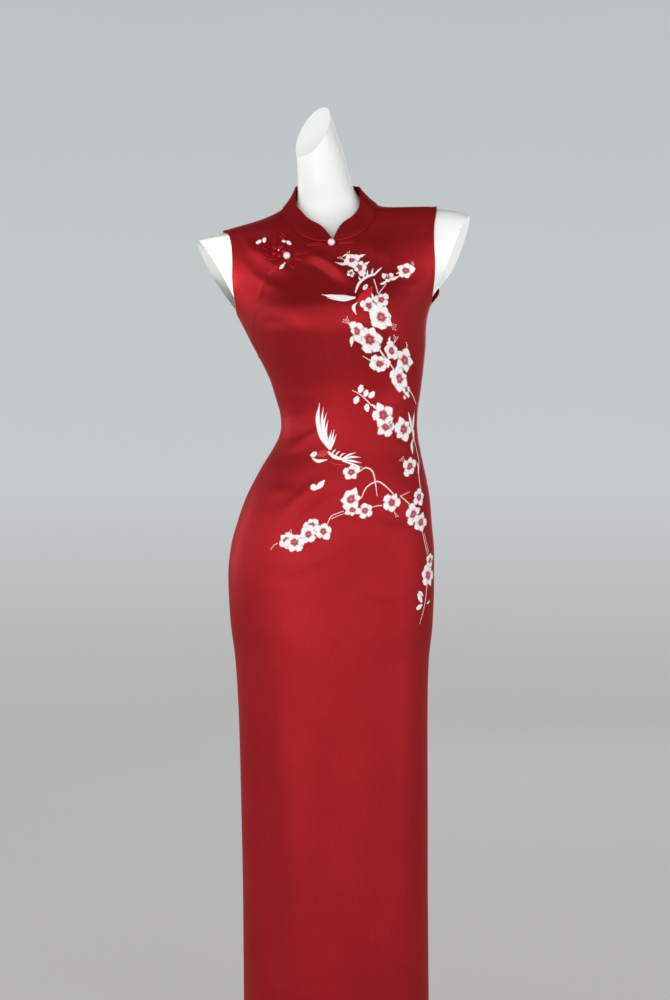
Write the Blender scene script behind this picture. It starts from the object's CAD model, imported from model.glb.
# %% [markdown]
# # A cheongsam dress on a dress form
# The dress is a long, sleeveless sheath of crimson silk satin with a stand collar. Its front laps
# over to the wearer's right and closes with a flower frog and pearls, and plum blossom with two birds
# is embroidered over the chest and the hips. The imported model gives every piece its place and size.
# This script gives each one its finished form and its material, and never moves what is there.

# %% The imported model
import math
from typing import NamedTuple

import bmesh
import bpy
import numpy as np
from mathutils import Matrix, Vector
from mathutils.bvhtree import BVHTree


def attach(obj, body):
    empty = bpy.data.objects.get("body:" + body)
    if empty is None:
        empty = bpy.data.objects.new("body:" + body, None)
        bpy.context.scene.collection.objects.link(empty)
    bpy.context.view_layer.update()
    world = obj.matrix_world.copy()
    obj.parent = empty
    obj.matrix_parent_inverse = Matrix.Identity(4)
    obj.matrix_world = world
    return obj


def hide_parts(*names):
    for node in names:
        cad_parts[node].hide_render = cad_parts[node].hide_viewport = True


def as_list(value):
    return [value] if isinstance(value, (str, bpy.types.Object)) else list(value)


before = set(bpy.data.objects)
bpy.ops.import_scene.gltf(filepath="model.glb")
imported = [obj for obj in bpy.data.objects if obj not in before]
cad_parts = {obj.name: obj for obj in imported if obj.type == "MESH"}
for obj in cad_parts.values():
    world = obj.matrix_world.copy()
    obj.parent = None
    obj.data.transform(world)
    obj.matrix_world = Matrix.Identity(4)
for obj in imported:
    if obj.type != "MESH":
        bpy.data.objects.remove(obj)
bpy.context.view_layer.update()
MM = 0.001
print("packed nodes:", len(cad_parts))

# %% [markdown]
# ## Colours and node trees
# A maker picks colours by eye on a screen, so they are written as sRGB hex values and one function
# turns them to the linear values that a shader works in. Another adds one node with its settings and
# its links, which keeps each material short enough to read as a recipe. The short ones after it make
# what nearly every material here needs: a shader, a noise, a mix, a new range and a relief.

# %% Helpers for colours and nodes
def linear(hex_colour, alpha=1.0):
    """An sRGB hex colour as the linear colour of a shader."""
    parts = [int(hex_colour[k:k + 2], 16) / 255 for k in (1, 3, 5)]
    return (*[c / 12.92 if c <= 0.04045 else ((c + 0.055) / 1.055) ** 2.4 for c in parts], alpha)


def node(tree, kind, inputs=None, **settings):
    """Add one node. An input's value is either a plain value or another node's output."""
    made = tree.nodes.new(kind)
    for name, value in settings.items():
        setattr(made, name, value)
    for name, value in (inputs or {}).items():
        if isinstance(value, bpy.types.NodeSocket):
            tree.links.new(value, made.inputs[name])
        else:
            made.inputs[name].default_value = value
    return made


def colour_ramp(ramp, stops):
    """Fill a colour ramp. stops are (place, sRGB hex colour)."""
    while len(ramp.elements) < len(stops):
        ramp.elements.new(1.0)
    for element, (place, colour) in zip(ramp.elements, stops):
        element.position = place
        element.color = linear(colour)


def new_material(name, settings):
    """A material, its tree and its shader, with plain settings for the shader's inputs."""
    material = bpy.data.materials.new(name)
    material.use_nodes = True
    tree = material.node_tree
    shader = tree.nodes["Principled BSDF"]
    for label, value in settings.items():
        shader.inputs[label].default_value = value
    return material, tree, shader


def noise(tree, place, scale, detail):
    return node(tree, "ShaderNodeTexNoise",
                {"Vector": place, "Scale": scale, "Detail": detail}).outputs["Fac"]


def mix(tree, share, first, second):
    return node(tree, "ShaderNodeMix", {"Factor": share, "A": first, "B": second},
                data_type="RGBA").outputs["Result"]


def map_range(tree, value, low, high, from_low=0.0, from_high=1.0):
    return node(tree, "ShaderNodeMapRange", {"Value": value, "From Min": from_low, "From Max": from_high,
                                             "To Min": low, "To Max": high}).outputs["Result"]


def relief(tree, height, strength, distance):
    return node(tree, "ShaderNodeBump", {"Height": height, "Strength": strength, "Distance": distance})


# %% Helpers for objects and rings
def add_object(name, data):
    made = bpy.data.objects.new(name, data)
    bpy.context.scene.collection.objects.link(made)
    return made


def aim(thing, place, target):
    thing.location = place
    thing.rotation_euler = (Vector(target) - Vector(place)).to_track_quat("-Z", "Y").to_euler()


def ring_faces(rings, sides, start=0):
    """Faces of a closed tube of rings, with both ends capped."""
    faces = []
    for i in range(rings - 1):
        for k in range(sides):
            m = (k + 1) % sides
            low, high = start + i * sides, start + (i + 1) * sides
            faces.append((low + k, low + m, high + m, high + k))
    last = start + (rings - 1) * sides
    return faces + [tuple(range(start, start + sides))[::-1], tuple(range(last, last + sides))]


def circle(radius, height, sides):
    return [(radius * math.cos(2 * math.pi * k / sides), radius * math.sin(2 * math.pi * k / sides), height)
            for k in range(sides)]


# %% [markdown]
# ## Camera, backdrop and lights
# The dress is seen straight from the front, from 3.2 m away and about navel height, with a long lens,
# so its verticals stay upright. The backdrop is a round studio wall that runs into the floor in one
# curve, so that every view round the dress has the same plain ground. Broad soft lamps suit satin: a
# small lamp would give it hard glints, and a broad one gives the wide, slow highlights of real satin.
# Three narrow lamps lift the white cuts of the form's neck and arms.

# %% Camera
def add_camera(place, target, lens):
    camera = add_object("camera", bpy.data.cameras.new("camera"))
    camera.data.sensor_width = 36.0
    camera.data.lens = lens
    aim(camera, place, target)
    bpy.context.scene.camera = camera


CAMERA_HEIGHT = 0.958
add_camera((0.003, -3.2, CAMERA_HEIGHT), (0.003, 0.0, CAMERA_HEIGHT), 70.7)


# %% Backdrop
WALL_TONES = ((0.0, "#b4b2ae"), (0.20, "#cacecf"), (0.45, "#c6cbcc"), (1.0, "#bbc0c3"))
WALL_TONES_HIGH = 5.0       # metres over which those tones run up the wall


def wall_paint():
    """Matt pale grey paint, lit mostly from behind, warmer and darker towards the floor."""
    paint, tree, shader = new_material("pale_wall_paint", {"Roughness": 0.9, "Specular IOR Level": 0.1,
                                                           "Emission Strength": 0.89})
    place = node(tree, "ShaderNodeTexCoord").outputs["Object"]
    tone = mix(tree, noise(tree, place, 0.8, 2.0), linear("#4e5153"), linear("#55585a"))
    tree.links.new(tone, shader.inputs["Base Color"])
    height = node(tree, "ShaderNodeSeparateXYZ", {"Vector": place}).outputs["Z"]
    share = node(tree, "ShaderNodeMath", {0: height, 1: WALL_TONES_HIGH},
                 operation="DIVIDE").outputs["Value"]
    glow = node(tree, "ShaderNodeValToRGB", {"Fac": share})
    colour_ramp(glow.color_ramp, WALL_TONES)
    tree.links.new(glow.outputs["Color"], shader.inputs["Emission Color"])
    return paint


def add_backdrop(radius, cove, height, sides=96):
    """A round floor that curves up into a round wall."""
    profile = [(0.02, 0.0), (radius - cove, 0.0)]
    profile += [(radius - cove + cove * math.sin(a), cove - cove * math.cos(a))
                for a in np.linspace(0, math.pi / 2, 28)[1:]]
    profile += [(radius, height)]
    corners = [point for r, z in profile for point in circle(r, z, sides)]
    faces = [tuple(range(sides))] + ring_faces(len(profile), sides)[:-2]
    mesh = bpy.data.meshes.new("backdrop")
    mesh.from_pydata(corners, [], faces)
    mesh.materials.append(wall_paint())
    mesh.shade_smooth()
    backdrop = add_object("backdrop", mesh)


add_backdrop(radius=8.0, cove=4.2, height=7.0)


# %% Lights
def add_lamp(name, place, target, width, tall, power):
    lamp = add_object(name, bpy.data.lights.new(name, "AREA"))
    lamp.data.shape = "RECTANGLE"
    lamp.data.size = width
    lamp.data.size_y = tall
    lamp.data.energy = power
    aim(lamp, place, target)


add_lamp("key_lamp", (-1.75, -3.6, 1.60), (0, 0, 1.0), 3.0, 3.0, 63)
add_lamp("fill_lamp", (1.75, -3.6, 1.60), (0, 0, 1.0), 3.0, 3.0, 36)
add_lamp("bounce_lamp", (-0.3, -3.0, 0.3), (0, 0, 1.15), 3.0, 0.5, 3)
add_lamp("left_lamp", (-3.2, -1.1, 1.6), (0, 0, 1.05), 1.0, 1.8, 10)
add_lamp("rim_lamp", (-2.9, 1.3, 1.5), (0, 0, 1.1), 0.8, 1.6, 16)
add_lamp("right_lamp", (3.1, -1.6, 0.9), (0, 0, 0.95), 1.0, 1.7, 14)
add_lamp("back_lamp", (0.9, 4.2, 1.9), (0, 0, 1.0), 1.8, 2.4, 36)


def add_accent(name, place, target, degrees, power):
    """A narrow cone of light. Its source is small, because a wide one would spill past the cone."""
    lamp = add_object(name, bpy.data.lights.new(name, "SPOT"))
    lamp.data.energy = power
    lamp.data.spot_size = math.radians(degrees)
    lamp.data.spot_blend = 1.0
    lamp.data.shadow_soft_size = 0.04
    aim(lamp, place, target)


add_accent("left_arm_accent", (-1.8, -2.6, 0.35), (-0.235, -0.03, 1.335), 5.5, 320)
add_accent("right_arm_accent", (0.9, -3.0, 0.3), (0.225, 0.0, 1.37), 5.5, 120)
add_accent("neck_cut_accent", (-1.6, -1.6, 3.0), (-0.04, 0.0, 1.575), 4, 70)


def studio_air():
    """Soft light from all round, weaker from high above, so that cloth which faces up stays deep."""
    world = bpy.data.worlds.new("studio")
    bpy.context.scene.world = world
    world.use_nodes = True
    tree = world.node_tree
    background = tree.nodes["Background"]
    background.inputs["Color"].default_value = linear("#e9eef2")
    upwards = node(tree, "ShaderNodeSeparateXYZ", {"Vector": node(
        tree, "ShaderNodeTexCoord").outputs["Generated"]}).outputs["Z"]
    strength = map_range(tree, upwards, 0.50, 0.09, 0.25, 0.8)
    tree.links.new(strength, background.inputs["Strength"])


studio_air()
bpy.context.scene.view_settings.view_transform = "Standard"
print("camera, backdrop and 10 lamps are in place")

# %% [markdown]
# ## The figure that the cloth is cut for
# A dressmaker describes a figure by its girths: how wide and how deep it is at the hip, the waist or
# the bust. The tables below do the same. Each row of SECTIONS is one level slice of the cloth's inner
# face, and a smooth curve through each column gives every slice between them. A place on the cloth is
# a turn and a height: turn 0 is the centre front, 1 the side at +X, 2 the centre back and -1 the side
# at -X. POSE then bends the spine, because the form stands with its weight on one hip.

# %% Sizes and tables of the figure
CLOTH = 0.0012          # wall of the satin with its backing
COLLAR_CLOTH = 0.0018   # stand collar, stiffened
SEAM = 0.0003           # air between two pieces that are sewn or lie together

HEM = 0.095             # height of the hem above the floor
UNDERARM = 1.265        # lowest point of the armholes
SHOULDER_TIP = 1.415    # outer end of the shoulder seam
NECK_SIDE = 1.436       # inner end of the shoulder seam
NECK_HALF_WIDTH = 0.0745
NECK_FRONT = 1.371      # neckline at the centre front
NECK_BACK = 1.441       # neckline at the centre back
OPENING_FOOT = 1.200    # where the side opening meets the side seam
SLIT_TOP = 0.650        # the side seams are left open below this
SLIT_GAP = 0.0030       # half of the slit's width at the hem
STUMP_TOP_HEIGHT = 1.404

HEM_TURN_IN = 30 * MM   # how wide each edge is turned in
SLIT_TURN_IN = 14 * MM
ARM_TURN_IN = 6.5 * MM
OPENING_ROWS = 60       # rows of cloth beside the opening, and beside the neck above it
NECK_ROWS = 34


class Section(NamedTuple):
    """One level section of the figure: a superellipse with its own front and back depth."""
    height: float
    half_width: float
    front: float
    back: float
    square: float       # exponent: 2 is an ellipse, more is squarer
    gap: float          # air between the cloth and the form


SECTIONS = tuple(Section(*row) for row in (
    (0.095, 0.1490, 0.098, 0.098, 2.10, 0.0040),    # hem
    (0.300, 0.1490, 0.098, 0.098, 2.10, 0.0040),
    (0.470, 0.1505, 0.100, 0.101, 2.10, 0.0040),
    (0.600, 0.1520, 0.102, 0.106, 2.15, 0.0040),
    (0.700, 0.1565, 0.104, 0.112, 2.20, 0.0030),    # thigh
    (0.760, 0.1635, 0.105, 0.118, 2.20, 0.0015),
    (0.830, 0.1665, 0.105, 0.123, 2.20, 0.0009),    # hip
    (0.880, 0.1640, 0.104, 0.121, 2.20, 0.0025),
    (0.920, 0.1568, 0.102, 0.114, 2.20, 0.0045),
    (0.960, 0.1482, 0.098, 0.104, 2.15, 0.0045),    # belly
    (1.000, 0.1349, 0.092, 0.094, 2.10, 0.0035),
    (1.040, 0.1190, 0.084, 0.085, 2.05, 0.0020),
    (1.062, 0.1118, 0.081, 0.080, 2.05, 0.0012),
    (1.080, 0.1096, 0.079, 0.078, 2.05, 0.0010),    # waist
    (1.100, 0.1108, 0.080, 0.078, 2.07, 0.0012),
    (1.125, 0.1160, 0.083, 0.081, 2.10, 0.0022),
    (1.160, 0.1237, 0.089, 0.087, 2.15, 0.0035),
    (1.200, 0.1350, 0.097, 0.094, 2.20, 0.0030),
    (1.240, 0.1462, 0.102, 0.099, 2.25, 0.0020),    # bust
    (1.265, 0.1560, 0.102, 0.102, 2.25, 0.0028),    # underarm
    (1.285, 0.1690, 0.098, 0.102, 2.20, 0.0028),
    (1.300, 0.1820, 0.094, 0.101, 2.10, 0.0028),
    (1.320, 0.2050, 0.088, 0.098, 2.00, 0.0025),
    (1.340, 0.2280, 0.081, 0.094, 2.00, 0.0025),
    (1.360, 0.2420, 0.073, 0.088, 2.00, 0.0020),
    (1.380, 0.2450, 0.063, 0.080, 1.95, 0.0020),
    (1.395, 0.2390, 0.056, 0.072, 1.85, 0.0020),
    (1.404, 0.2240, 0.053, 0.067, 1.75, 0.0022),
    (1.4090, 0.2085, 0.051, 0.064, 1.70, 0.0025),
    (1.4150, 0.1760, 0.050, 0.062, 1.65, 0.0029),   # shoulder tip
    (1.4180, 0.1550, 0.049, 0.061, 1.60, 0.0033),
    (1.4215, 0.1260, 0.048, 0.060, 1.60, 0.0036),
    (1.4250, 0.1050, 0.047, 0.059, 1.65, 0.0040),
    (1.4300, 0.0865, 0.047, 0.058, 1.75, 0.0050),
    (1.4360, 0.0745, 0.046, 0.057, 1.90, 0.0060),   # neck side
    (1.4480, 0.0635, 0.045, 0.053, 2.00, 0.0080),   # from here up, the form alone
    (1.4600, 0.0545, 0.045, 0.050, 2.00, 0.0085),
    (1.4750, 0.0520, 0.044, 0.047, 2.00, 0.0085),
    (1.5200, 0.0470, 0.043, 0.045, 2.00, 0.0090),
    (1.5600, 0.0430, 0.042, 0.043, 2.00, 0.0090),
    (1.6400, 0.0405, 0.041, 0.041, 2.00, 0.0090),
))


class Pose(NamedTuple):
    """Where the spine passes a height, and how far the section there tips, +X side up."""
    height: float
    aside: float
    back: float
    tip: float          # degrees


POSE = tuple(Pose(*row) for row in (
    (0.095, 0.0055, 0.0, 0.0),
    (0.390, 0.0030, 0.0, 0.0),
    (0.600, 0.0002, 0.0, 0.0),
    (0.740, -0.0025, 0.0, -1.2),
    (0.830, -0.0032, 0.0, -2.0),
    (0.920, 0.0035, 0.0, -2.4),
    (1.000, 0.0153, 0.0, -1.6),
    (1.080, 0.0261, 0.0, 0.5),
    (1.150, 0.0227, 0.0, 2.5),
    (1.200, 0.0146, 0.0, 3.5),
    (1.230, 0.0075, 0.0, 4.0),
    (1.262, 0.0030, 0.0, 4.0),
    (1.300, 0.0015, 0.001, 4.2),
    (1.360, 0.0000, 0.002, 4.4),
    (1.398, -0.0015, 0.002, 4.9),
    (1.415, -0.0050, 0.003, 6.4),
    (1.436, -0.0052, 0.003, 2.4),
    (1.462, -0.0130, 0.002, 7.6),
    (1.520, -0.0220, -0.004, 7.6),
    (1.559, -0.0320, -0.008, 7.6),
    (1.640, -0.0480, -0.014, 7.6),
))

CUP_HEIGHT = 1.238      # bust: two soft cups joined by a wider band
CUP_ASIDE = 0.073
CUP_WIDTH = 0.052
CUP_TALL = 0.055
CUP_DEPTH = 0.017
BAND_DEPTH = 0.012
BAND_TALL = 0.060


class Fold(NamedTuple):
    """One soft crease of the cloth, from one place to another: a ridge, or a trough if negative."""
    face: str           # front or back
    aside: float
    height: float
    aside_end: float
    height_end: float
    width: float
    depth: float


FOLDS = tuple(Fold(*row) for row in (
    ("front", -0.050, 1.362, 0.035, 1.300, 0.011, 0.0030),     # chest, from the collar
    ("front", -0.030, 1.335, 0.055, 1.285, 0.010, 0.0020),
    ("front", -0.150, 1.385, -0.060, 1.310, 0.011, 0.0028),    # chest, from the shoulder
    ("front", 0.045, 1.372, 0.090, 1.330, 0.012, 0.0022),
    ("front", -0.105, 1.035, -0.040, 1.076, 0.010, 0.0022),    # waist drags
    ("front", 0.095, 1.120, 0.040, 1.095, 0.010, 0.0018),
    ("front", -0.055, 0.890, 0.025, 0.972, 0.020, -0.0028),    # across the hips
    ("front", 0.060, 0.905, 0.120, 0.960, 0.020, -0.0020),
    ("front", -0.065, 0.580, -0.055, 0.110, 0.026, 0.0030),    # flutes of the skirt
    ("front", 0.035, 0.560, 0.045, 0.110, 0.030, 0.0022),
    ("front", 0.105, 0.600, 0.100, 0.110, 0.022, 0.0026),
    ("back", -0.080, 1.100, 0.085, 1.112, 0.012, 0.0025),      # small of the back
    ("back", -0.060, 1.060, 0.070, 1.050, 0.011, 0.0022),
    ("back", -0.110, 1.340, -0.060, 1.250, 0.013, 0.0020),     # below the shoulder blades
    ("back", 0.115, 1.330, 0.070, 1.245, 0.013, 0.0022),
    ("back", 0.1600, 1.2665, 0.1680, 1.3500, 0.015, 0.0070),   # armholes that stand away
    ("back", -0.1570, 1.2665, -0.1650, 1.3400, 0.015, 0.0030),
    ("back", -0.060, 0.600, -0.070, 0.110, 0.028, 0.0028),     # flutes of the skirt
    ("back", 0.030, 0.620, 0.020, 0.110, 0.030, 0.0024),
    ("back", 0.100, 0.560, 0.105, 0.110, 0.024, 0.0026),
))
FOLD_END = 0.35         # share of a crease over which each end fades out


class Edge(NamedTuple):
    """A point of a cut edge, by its distance aside of the centre front and its height."""
    aside: float
    height: float


# The edge of the front that laps over, from the underarm to the collar.
OPENING = tuple(Edge(*row) for row in (
    (-0.1368, 1.2285), (-0.1325, 1.258), (-0.1255, 1.289), (-0.1195, 1.310), (-0.1060, 1.3300),
    (-0.0740, 1.3480), (-0.0370, 1.3600),
))
# The edge of an armhole between the underarm and the shoulder tip.
ARMHOLE = tuple(Edge(*row) for row in (
    (0.1567, 1.2710), (0.1577, 1.2800), (0.1595, 1.2900), (0.1615, 1.3040), (0.1628, 1.3250),
    (0.1622, 1.3550), (0.1638, 1.3830), (0.1680, 1.4000),
))

# The same edge of the back at +X, where it stands out behind the arm.
ARMHOLE_BACK_RIGHT = tuple(Edge(*row) for row in (
    (0.1585, 1.2690), (0.1640, 1.2770), (0.1678, 1.2860), (0.1688, 1.2960), (0.1672, 1.3080),
    (0.1648, 1.3250), (0.1630, 1.3550), (0.1640, 1.3830), (0.1680, 1.4000),
))
ARMHOLE_BACK_LEFT = tuple(Edge(*row) for row in (
    (0.1575, 1.2710), (0.1600, 1.2800), (0.1618, 1.2900), (0.1628, 1.3040), (0.1632, 1.3250),
    (0.1625, 1.3550), (0.1640, 1.3830), (0.1680, 1.4000),
))

COLLAR_HEIGHT = 0.034
COLLAR_EXTRA = 0.006    # how much taller the collar is at its sides and back
COLLAR_RISE = 0.046     # length of seam over which the collar's front corner curves up
COLLAR_START = 0.0012   # half of the gap between the two fronts
COLLAR_TOP = (0.0458, 0.0490, 0.0525)       # half width, front and back depth of its upper edge
COLLAR_TOP_FRONT = 1.409
COLLAR_TOP_SIDE = 1.473
COLLAR_TOP_BACK = 1.488

PROBE = 0.0005          # step for slopes on the figure
YOKE_SPLIT = 0.70       # share of the outer edge that lies beside the opening
OPENING_SPREAD = 1.25   # more than 1 crowds the rows towards the opening's foot
SIDE_SHARE = YOKE_SPLIT * 0.5 ** OPENING_SPREAD    # share of that edge which is side seam


# %% Curves through the tables
def curve_through(rows, column):
    """A smooth function of height through one column of a table, with no overshoot."""
    at = np.array([row.height for row in rows])
    to = np.array([getattr(row, column) for row in rows])
    step = np.diff(at)
    rise = np.diff(to) / step
    slope = np.zeros(len(at))
    slope[0], slope[-1] = rise[0], rise[-1]
    for i in range(1, len(at) - 1):
        if rise[i - 1] * rise[i] > 0:
            near, far = 2 * step[i] + step[i - 1], step[i] + 2 * step[i - 1]
            slope[i] = (near + far) / (near / rise[i - 1] + far / rise[i])

    def value(height):
        height = np.clip(height, at[0], at[-1])
        i = np.clip(np.searchsorted(at, height) - 1, 0, len(step) - 1)
        t = (height - at[i]) / step[i]
        ends = (1 + 2 * t) * (1 - t) ** 2 * to[i] + t * t * (3 - 2 * t) * to[i + 1]
        return ends + step[i] * (t * (1 - t) ** 2 * slope[i] - t * t * (1 - t) * slope[i + 1])

    return value


half_width = curve_through(SECTIONS, "half_width")
front_depth = curve_through(SECTIONS, "front")
back_depth = curve_through(SECTIONS, "back")
squareness = curve_through(SECTIONS, "square")
form_gap = curve_through(SECTIONS, "gap")
spine_aside = curve_through(POSE, "aside")
spine_back = curve_through(POSE, "back")
tip_degrees = curve_through(POSE, "tip")


def bell(distance):
    return np.exp(-distance * distance)


def upright_place(turn, height):
    """Distance aside and to the back of the upright figure's skin, at turns and heights."""
    angle = turn * (math.pi / 2)
    power = 2 / squareness(height)
    sine, cosine = np.sin(angle), np.cos(angle)
    reach = np.abs(cosine) ** power
    aside = half_width(height) * np.sign(sine) * np.abs(sine) ** power
    cups = bell((aside - CUP_ASIDE) / CUP_WIDTH) + bell((aside + CUP_ASIDE) / CUP_WIDTH)
    cups = cups * CUP_DEPTH * bell((height - CUP_HEIGHT) / CUP_TALL)
    band = BAND_DEPTH * bell((height - CUP_HEIGHT) / BAND_TALL)
    front = -front_depth(height) * reach - (cups + band * cosine) * np.abs(cosine) ** 0.5
    return aside, np.where(cosine > 0, front, back_depth(height) * reach)


def posed(aside, back, height):
    """Bend the upright figure's points with the spine."""
    tip = np.radians(tip_degrees(height))
    return np.stack([spine_aside(height) + aside * np.cos(tip),
                     spine_back(height) + back,
                     height + aside * np.sin(tip)], axis=-1)


def skin(turn, height):
    return posed(*upright_place(turn, height), height)


def unit(vectors):
    return vectors / np.maximum(np.linalg.norm(vectors, axis=-1, keepdims=True), 1e-12)


def outward(turn, height):
    """Unit normals of the skin."""
    across = skin(turn + PROBE * 8, height) - skin(turn - PROBE * 8, height)
    up = skin(turn, height + PROBE) - skin(turn, height - PROBE)
    return unit(np.cross(across, up))


def turn_at(aside, height):
    """The front's turn at a distance aside of the centre."""
    share = np.minimum(np.abs(aside) / half_width(height), 1.0)
    return np.sign(aside) * np.arcsin(share ** (squareness(height) / 2)) * 2 / math.pi


# %% [markdown]
# ## Creases
# Satin on a close dress has two kinds of crease. A few large ones follow the cut and are in the packed
# solids too. Many small ones come from how the cloth hangs today: pulls from the closing, drags over
# the waist, slack under the arm. Both are made alike, as a soft ridge or trough along a bent line,
# fading out at its ends. Placing them by hand, all a little different, looks more like worn cloth than
# an even noise would.

# %% Creases
class Crease(NamedTuple):
    """One soft crease along a bent line: a ridge, or a trough where its depth is negative."""
    face: str
    start: np.ndarray   # (aside, height) of its start, bend and end
    bend: np.ndarray
    end: np.ndarray
    width: float
    depth: float


FRONT_CREASES = (        # all in millimetres: start, bend, end, width, depth
    # chest, falling from the collar and the flower closing towards the other side of the bust
    ((-62, 1352), (-40, 1338), (-22, 1312), 6, 1.3), ((-18, 1356), (0, 1332), (30, 1300), 7, 1.4),
    ((12, 1350), (22, 1330), (40, 1306), 5, -1.1), ((-82, 1322), (-66, 1302), (-58, 1276), 7.5, 1.2),
    ((60, 1398), (68, 1360), (64, 1318), 8, -1.3), ((120, 1400), (116, 1360), (122, 1322), 6.5, 1.2),
    ((146, 1318), (132, 1296), (112, 1282), 5.5, 1.4), ((150, 1298), (136, 1280), (120, 1270), 4, -1),
    ((-51, 1359), (-12, 1338), (33, 1300), 5.6, 3), ((-58, 1344), (-22, 1325), (18, 1288), 6, -2.6),
    ((-152, 1372), (-95, 1330), (-38, 1292), 4, -0.6), ((-146, 1378), (-110, 1358), (-70, 1345), 4.5, 0.9),
    ((-152, 1352), (-118, 1317), (-52, 1280), 8, 3), ((-108, 1326), (-118, 1296), (-132, 1262), 4, -1.6),
    ((-100, 1322), (-111, 1290), (-124, 1258), 4.2, 1.3),
    # side front, from the shoulder to the closing
    ((-146, 1398), (-128, 1372), (-102, 1352), 6, 1.4), ((-110, 1404), (-104, 1380), (-90, 1362), 5, -1.2),
    ((-152, 1362), (-140, 1345), (-120, 1332), 5.5, 1.1),
    ((-150, 1318), (-138, 1300), (-134, 1276), 5, 0.9),
    # under the bust and over the waist
    ((-112, 1196), (-86, 1188), (-58, 1194), 7, -1), ((52, 1190), (82, 1182), (110, 1190), 7, -1),
    ((-104, 1142), (-80, 1128), (-44, 1124), 6, 1), ((-106, 1058), (-78, 1078), (-38, 1098), 6, 1.3),
    ((-108, 1022), (-82, 1040), (-52, 1050), 5.5, 1.1), ((-112, 1088), (-90, 1094), (-62, 1090), 4.5, -0.8),
    ((104, 1104), (78, 1092), (46, 1086), 5.5, 1.1), ((108, 1070), (84, 1064), (60, 1070), 4.5, -0.8),
    ((114, 1034), (90, 1044), (66, 1046), 6, 1), ((-120, 1244), (-98, 1246), (-68, 1232), 8, -1.6),
    ((-92, 1150), (-80, 1160), (-62, 1166), 3.6, 1.3), ((-100, 1046), (-70, 1064), (-40, 1083), 4.2, -0.9),
    # over the belly and the hips
    ((-88, 890), (-36, 940), (26, 998), 8.5, -2.2), ((-112, 906), (-62, 956), (2, 1012), 12, 2.6),
    ((-72, 834), (-30, 862), (22, 884), 11, 1.3), ((-120, 972), (-92, 966), (-60, 976), 10, 1.2),
    ((-30, 902), (50, 908), (118, 890), 30, 3), ((50, 940), (85, 915), (130, 925), 11, 1.2),
    ((-130, 850), (-80, 832), (-20, 846), 14, -1), ((30, 830), (80, 812), (135, 826), 13, 1),
    # skirt
    ((-110, 700), (-104, 500), (-108, 120), 16, -1.6), ((-15, 640), (-8, 420), (-4, 110), 20, -1.8),
    ((72, 660), (76, 420), (70, 110), 17, -1.6),
)
BACK_CREASES = (
    # back: under the arms, between the shoulder blades, waist and seat
    ((-146, 1330), (-126, 1300), (-100, 1280), 6.5, 1.4), ((148, 1335), (124, 1306), (106, 1276), 6.5, 1.3),
    ((-140, 1296), (-118, 1276), (-104, 1250), 5, -1.1), ((60, 1405), (66, 1370), (58, 1330), 8, 1.1),
    ((-70, 1400), (-64, 1372), (-70, 1336), 7.5, 1.1), ((-20, 1300), (-12, 1240), (-22, 1180), 11, -1),
    ((-98, 1128), (-50, 1122), (-6, 1132), 6, 1.6), ((94, 1140), (56, 1128), (10, 1118), 5.5, 1.4),
    ((-92, 1076), (-40, 1086), (20, 1078), 5.5, -1.2), ((96, 1088), (60, 1074), (20, 1064), 6, 1.5),
    ((-100, 1030), (-60, 1026), (-20, 1036), 6.5, 1.3), ((-120, 960), (-70, 944), (-20, 950), 11, 1.1),
    ((30, 950), (80, 936), (126, 950), 10, 1.1), ((-110, 740), (-40, 722), (40, 736), 14, -1.2),
    ((60, 660), (64, 420), (58, 110), 18, -1.8), ((-16, 640), (-22, 400), (-20, 110), 18, -1.6),
    ((-112, 690), (-108, 420), (-112, 110), 16, 1.6),
)
SMALL_CREASES = tuple(
    Crease(face, *(np.array(place) * MM for place in (start, bend, end)), width * MM, depth * MM)
    for face, rows in (("front", FRONT_CREASES), ("back", BACK_CREASES))
    for start, bend, end, width, depth in rows)
CREASE_END = 0.45       # share of a small crease over which each end fades out
CREASE_STEPS = 8        # straight steps that its bent line is made of
FAR_AWAY = 9.0          # metres, further off than any place on the cloth


def soft_step(value):
    value = np.clip(value, 0, 1)
    return value * value * (3 - 2 * value)


def along_line(here, start, run):
    """How far along a straight line each place is, from 0 to 1, and its distance from it."""
    along = np.clip(((here - start) @ run) / (run @ run), 0.0, 1.0)
    return along, np.linalg.norm(here - start - along[..., None] * run, axis=-1)


def crease(turn, height):
    """How far all the creases lift the cloth off the skin."""
    turn, height = np.broadcast_arrays(turn, height)
    on_front = np.abs((turn + 2) % 4 - 2) < 1
    here = np.stack([upright_place(turn, height)[0], height], axis=-1)
    lift = np.zeros(turn.shape)
    for fold in FOLDS:
        start = np.array([fold.aside, fold.height])
        along, distance = along_line(here, start, np.array([fold.aside_end, fold.height_end]) - start)
        fade = np.minimum(np.minimum(along, 1 - along), FOLD_END) / FOLD_END
        lift += fold.depth * bell(distance / fold.width) * fade * (on_front == (fold.face == "front"))
    for small in SMALL_CREASES:
        a, b, c = small.start, small.bend, small.end
        best, where = np.full(turn.shape, FAR_AWAY), np.zeros(turn.shape)
        bends = [(1 - t) ** 2 * a + 2 * t * (1 - t) * (2 * b - (a + c) / 2) + t * t * c
                 for t in np.linspace(0, 1, CREASE_STEPS + 1)]
        for k, (low, high) in enumerate(zip(bends, bends[1:])):
            along, distance = along_line(here, low, high - low)
            nearer = distance < best
            best = np.where(nearer, distance, best)
            where = np.where(nearer, (k + along) / CREASE_STEPS, where)
        fade = soft_step(np.minimum(where, 1 - where) / CREASE_END)
        lift += small.depth * bell(best / small.width) * fade * (on_front == (small.face == "front"))
    return lift


def cloth_point(turn, height, layer):
    """Points of the cloth, a layer's distance outside its inner face."""
    lift = crease(turn, height) + layer
    return skin(turn, height) + outward(turn, height) * lift[..., None]


print(len(SECTIONS), "sections,", len(FOLDS), "folds and", len(SMALL_CREASES), "small creases")

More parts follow.
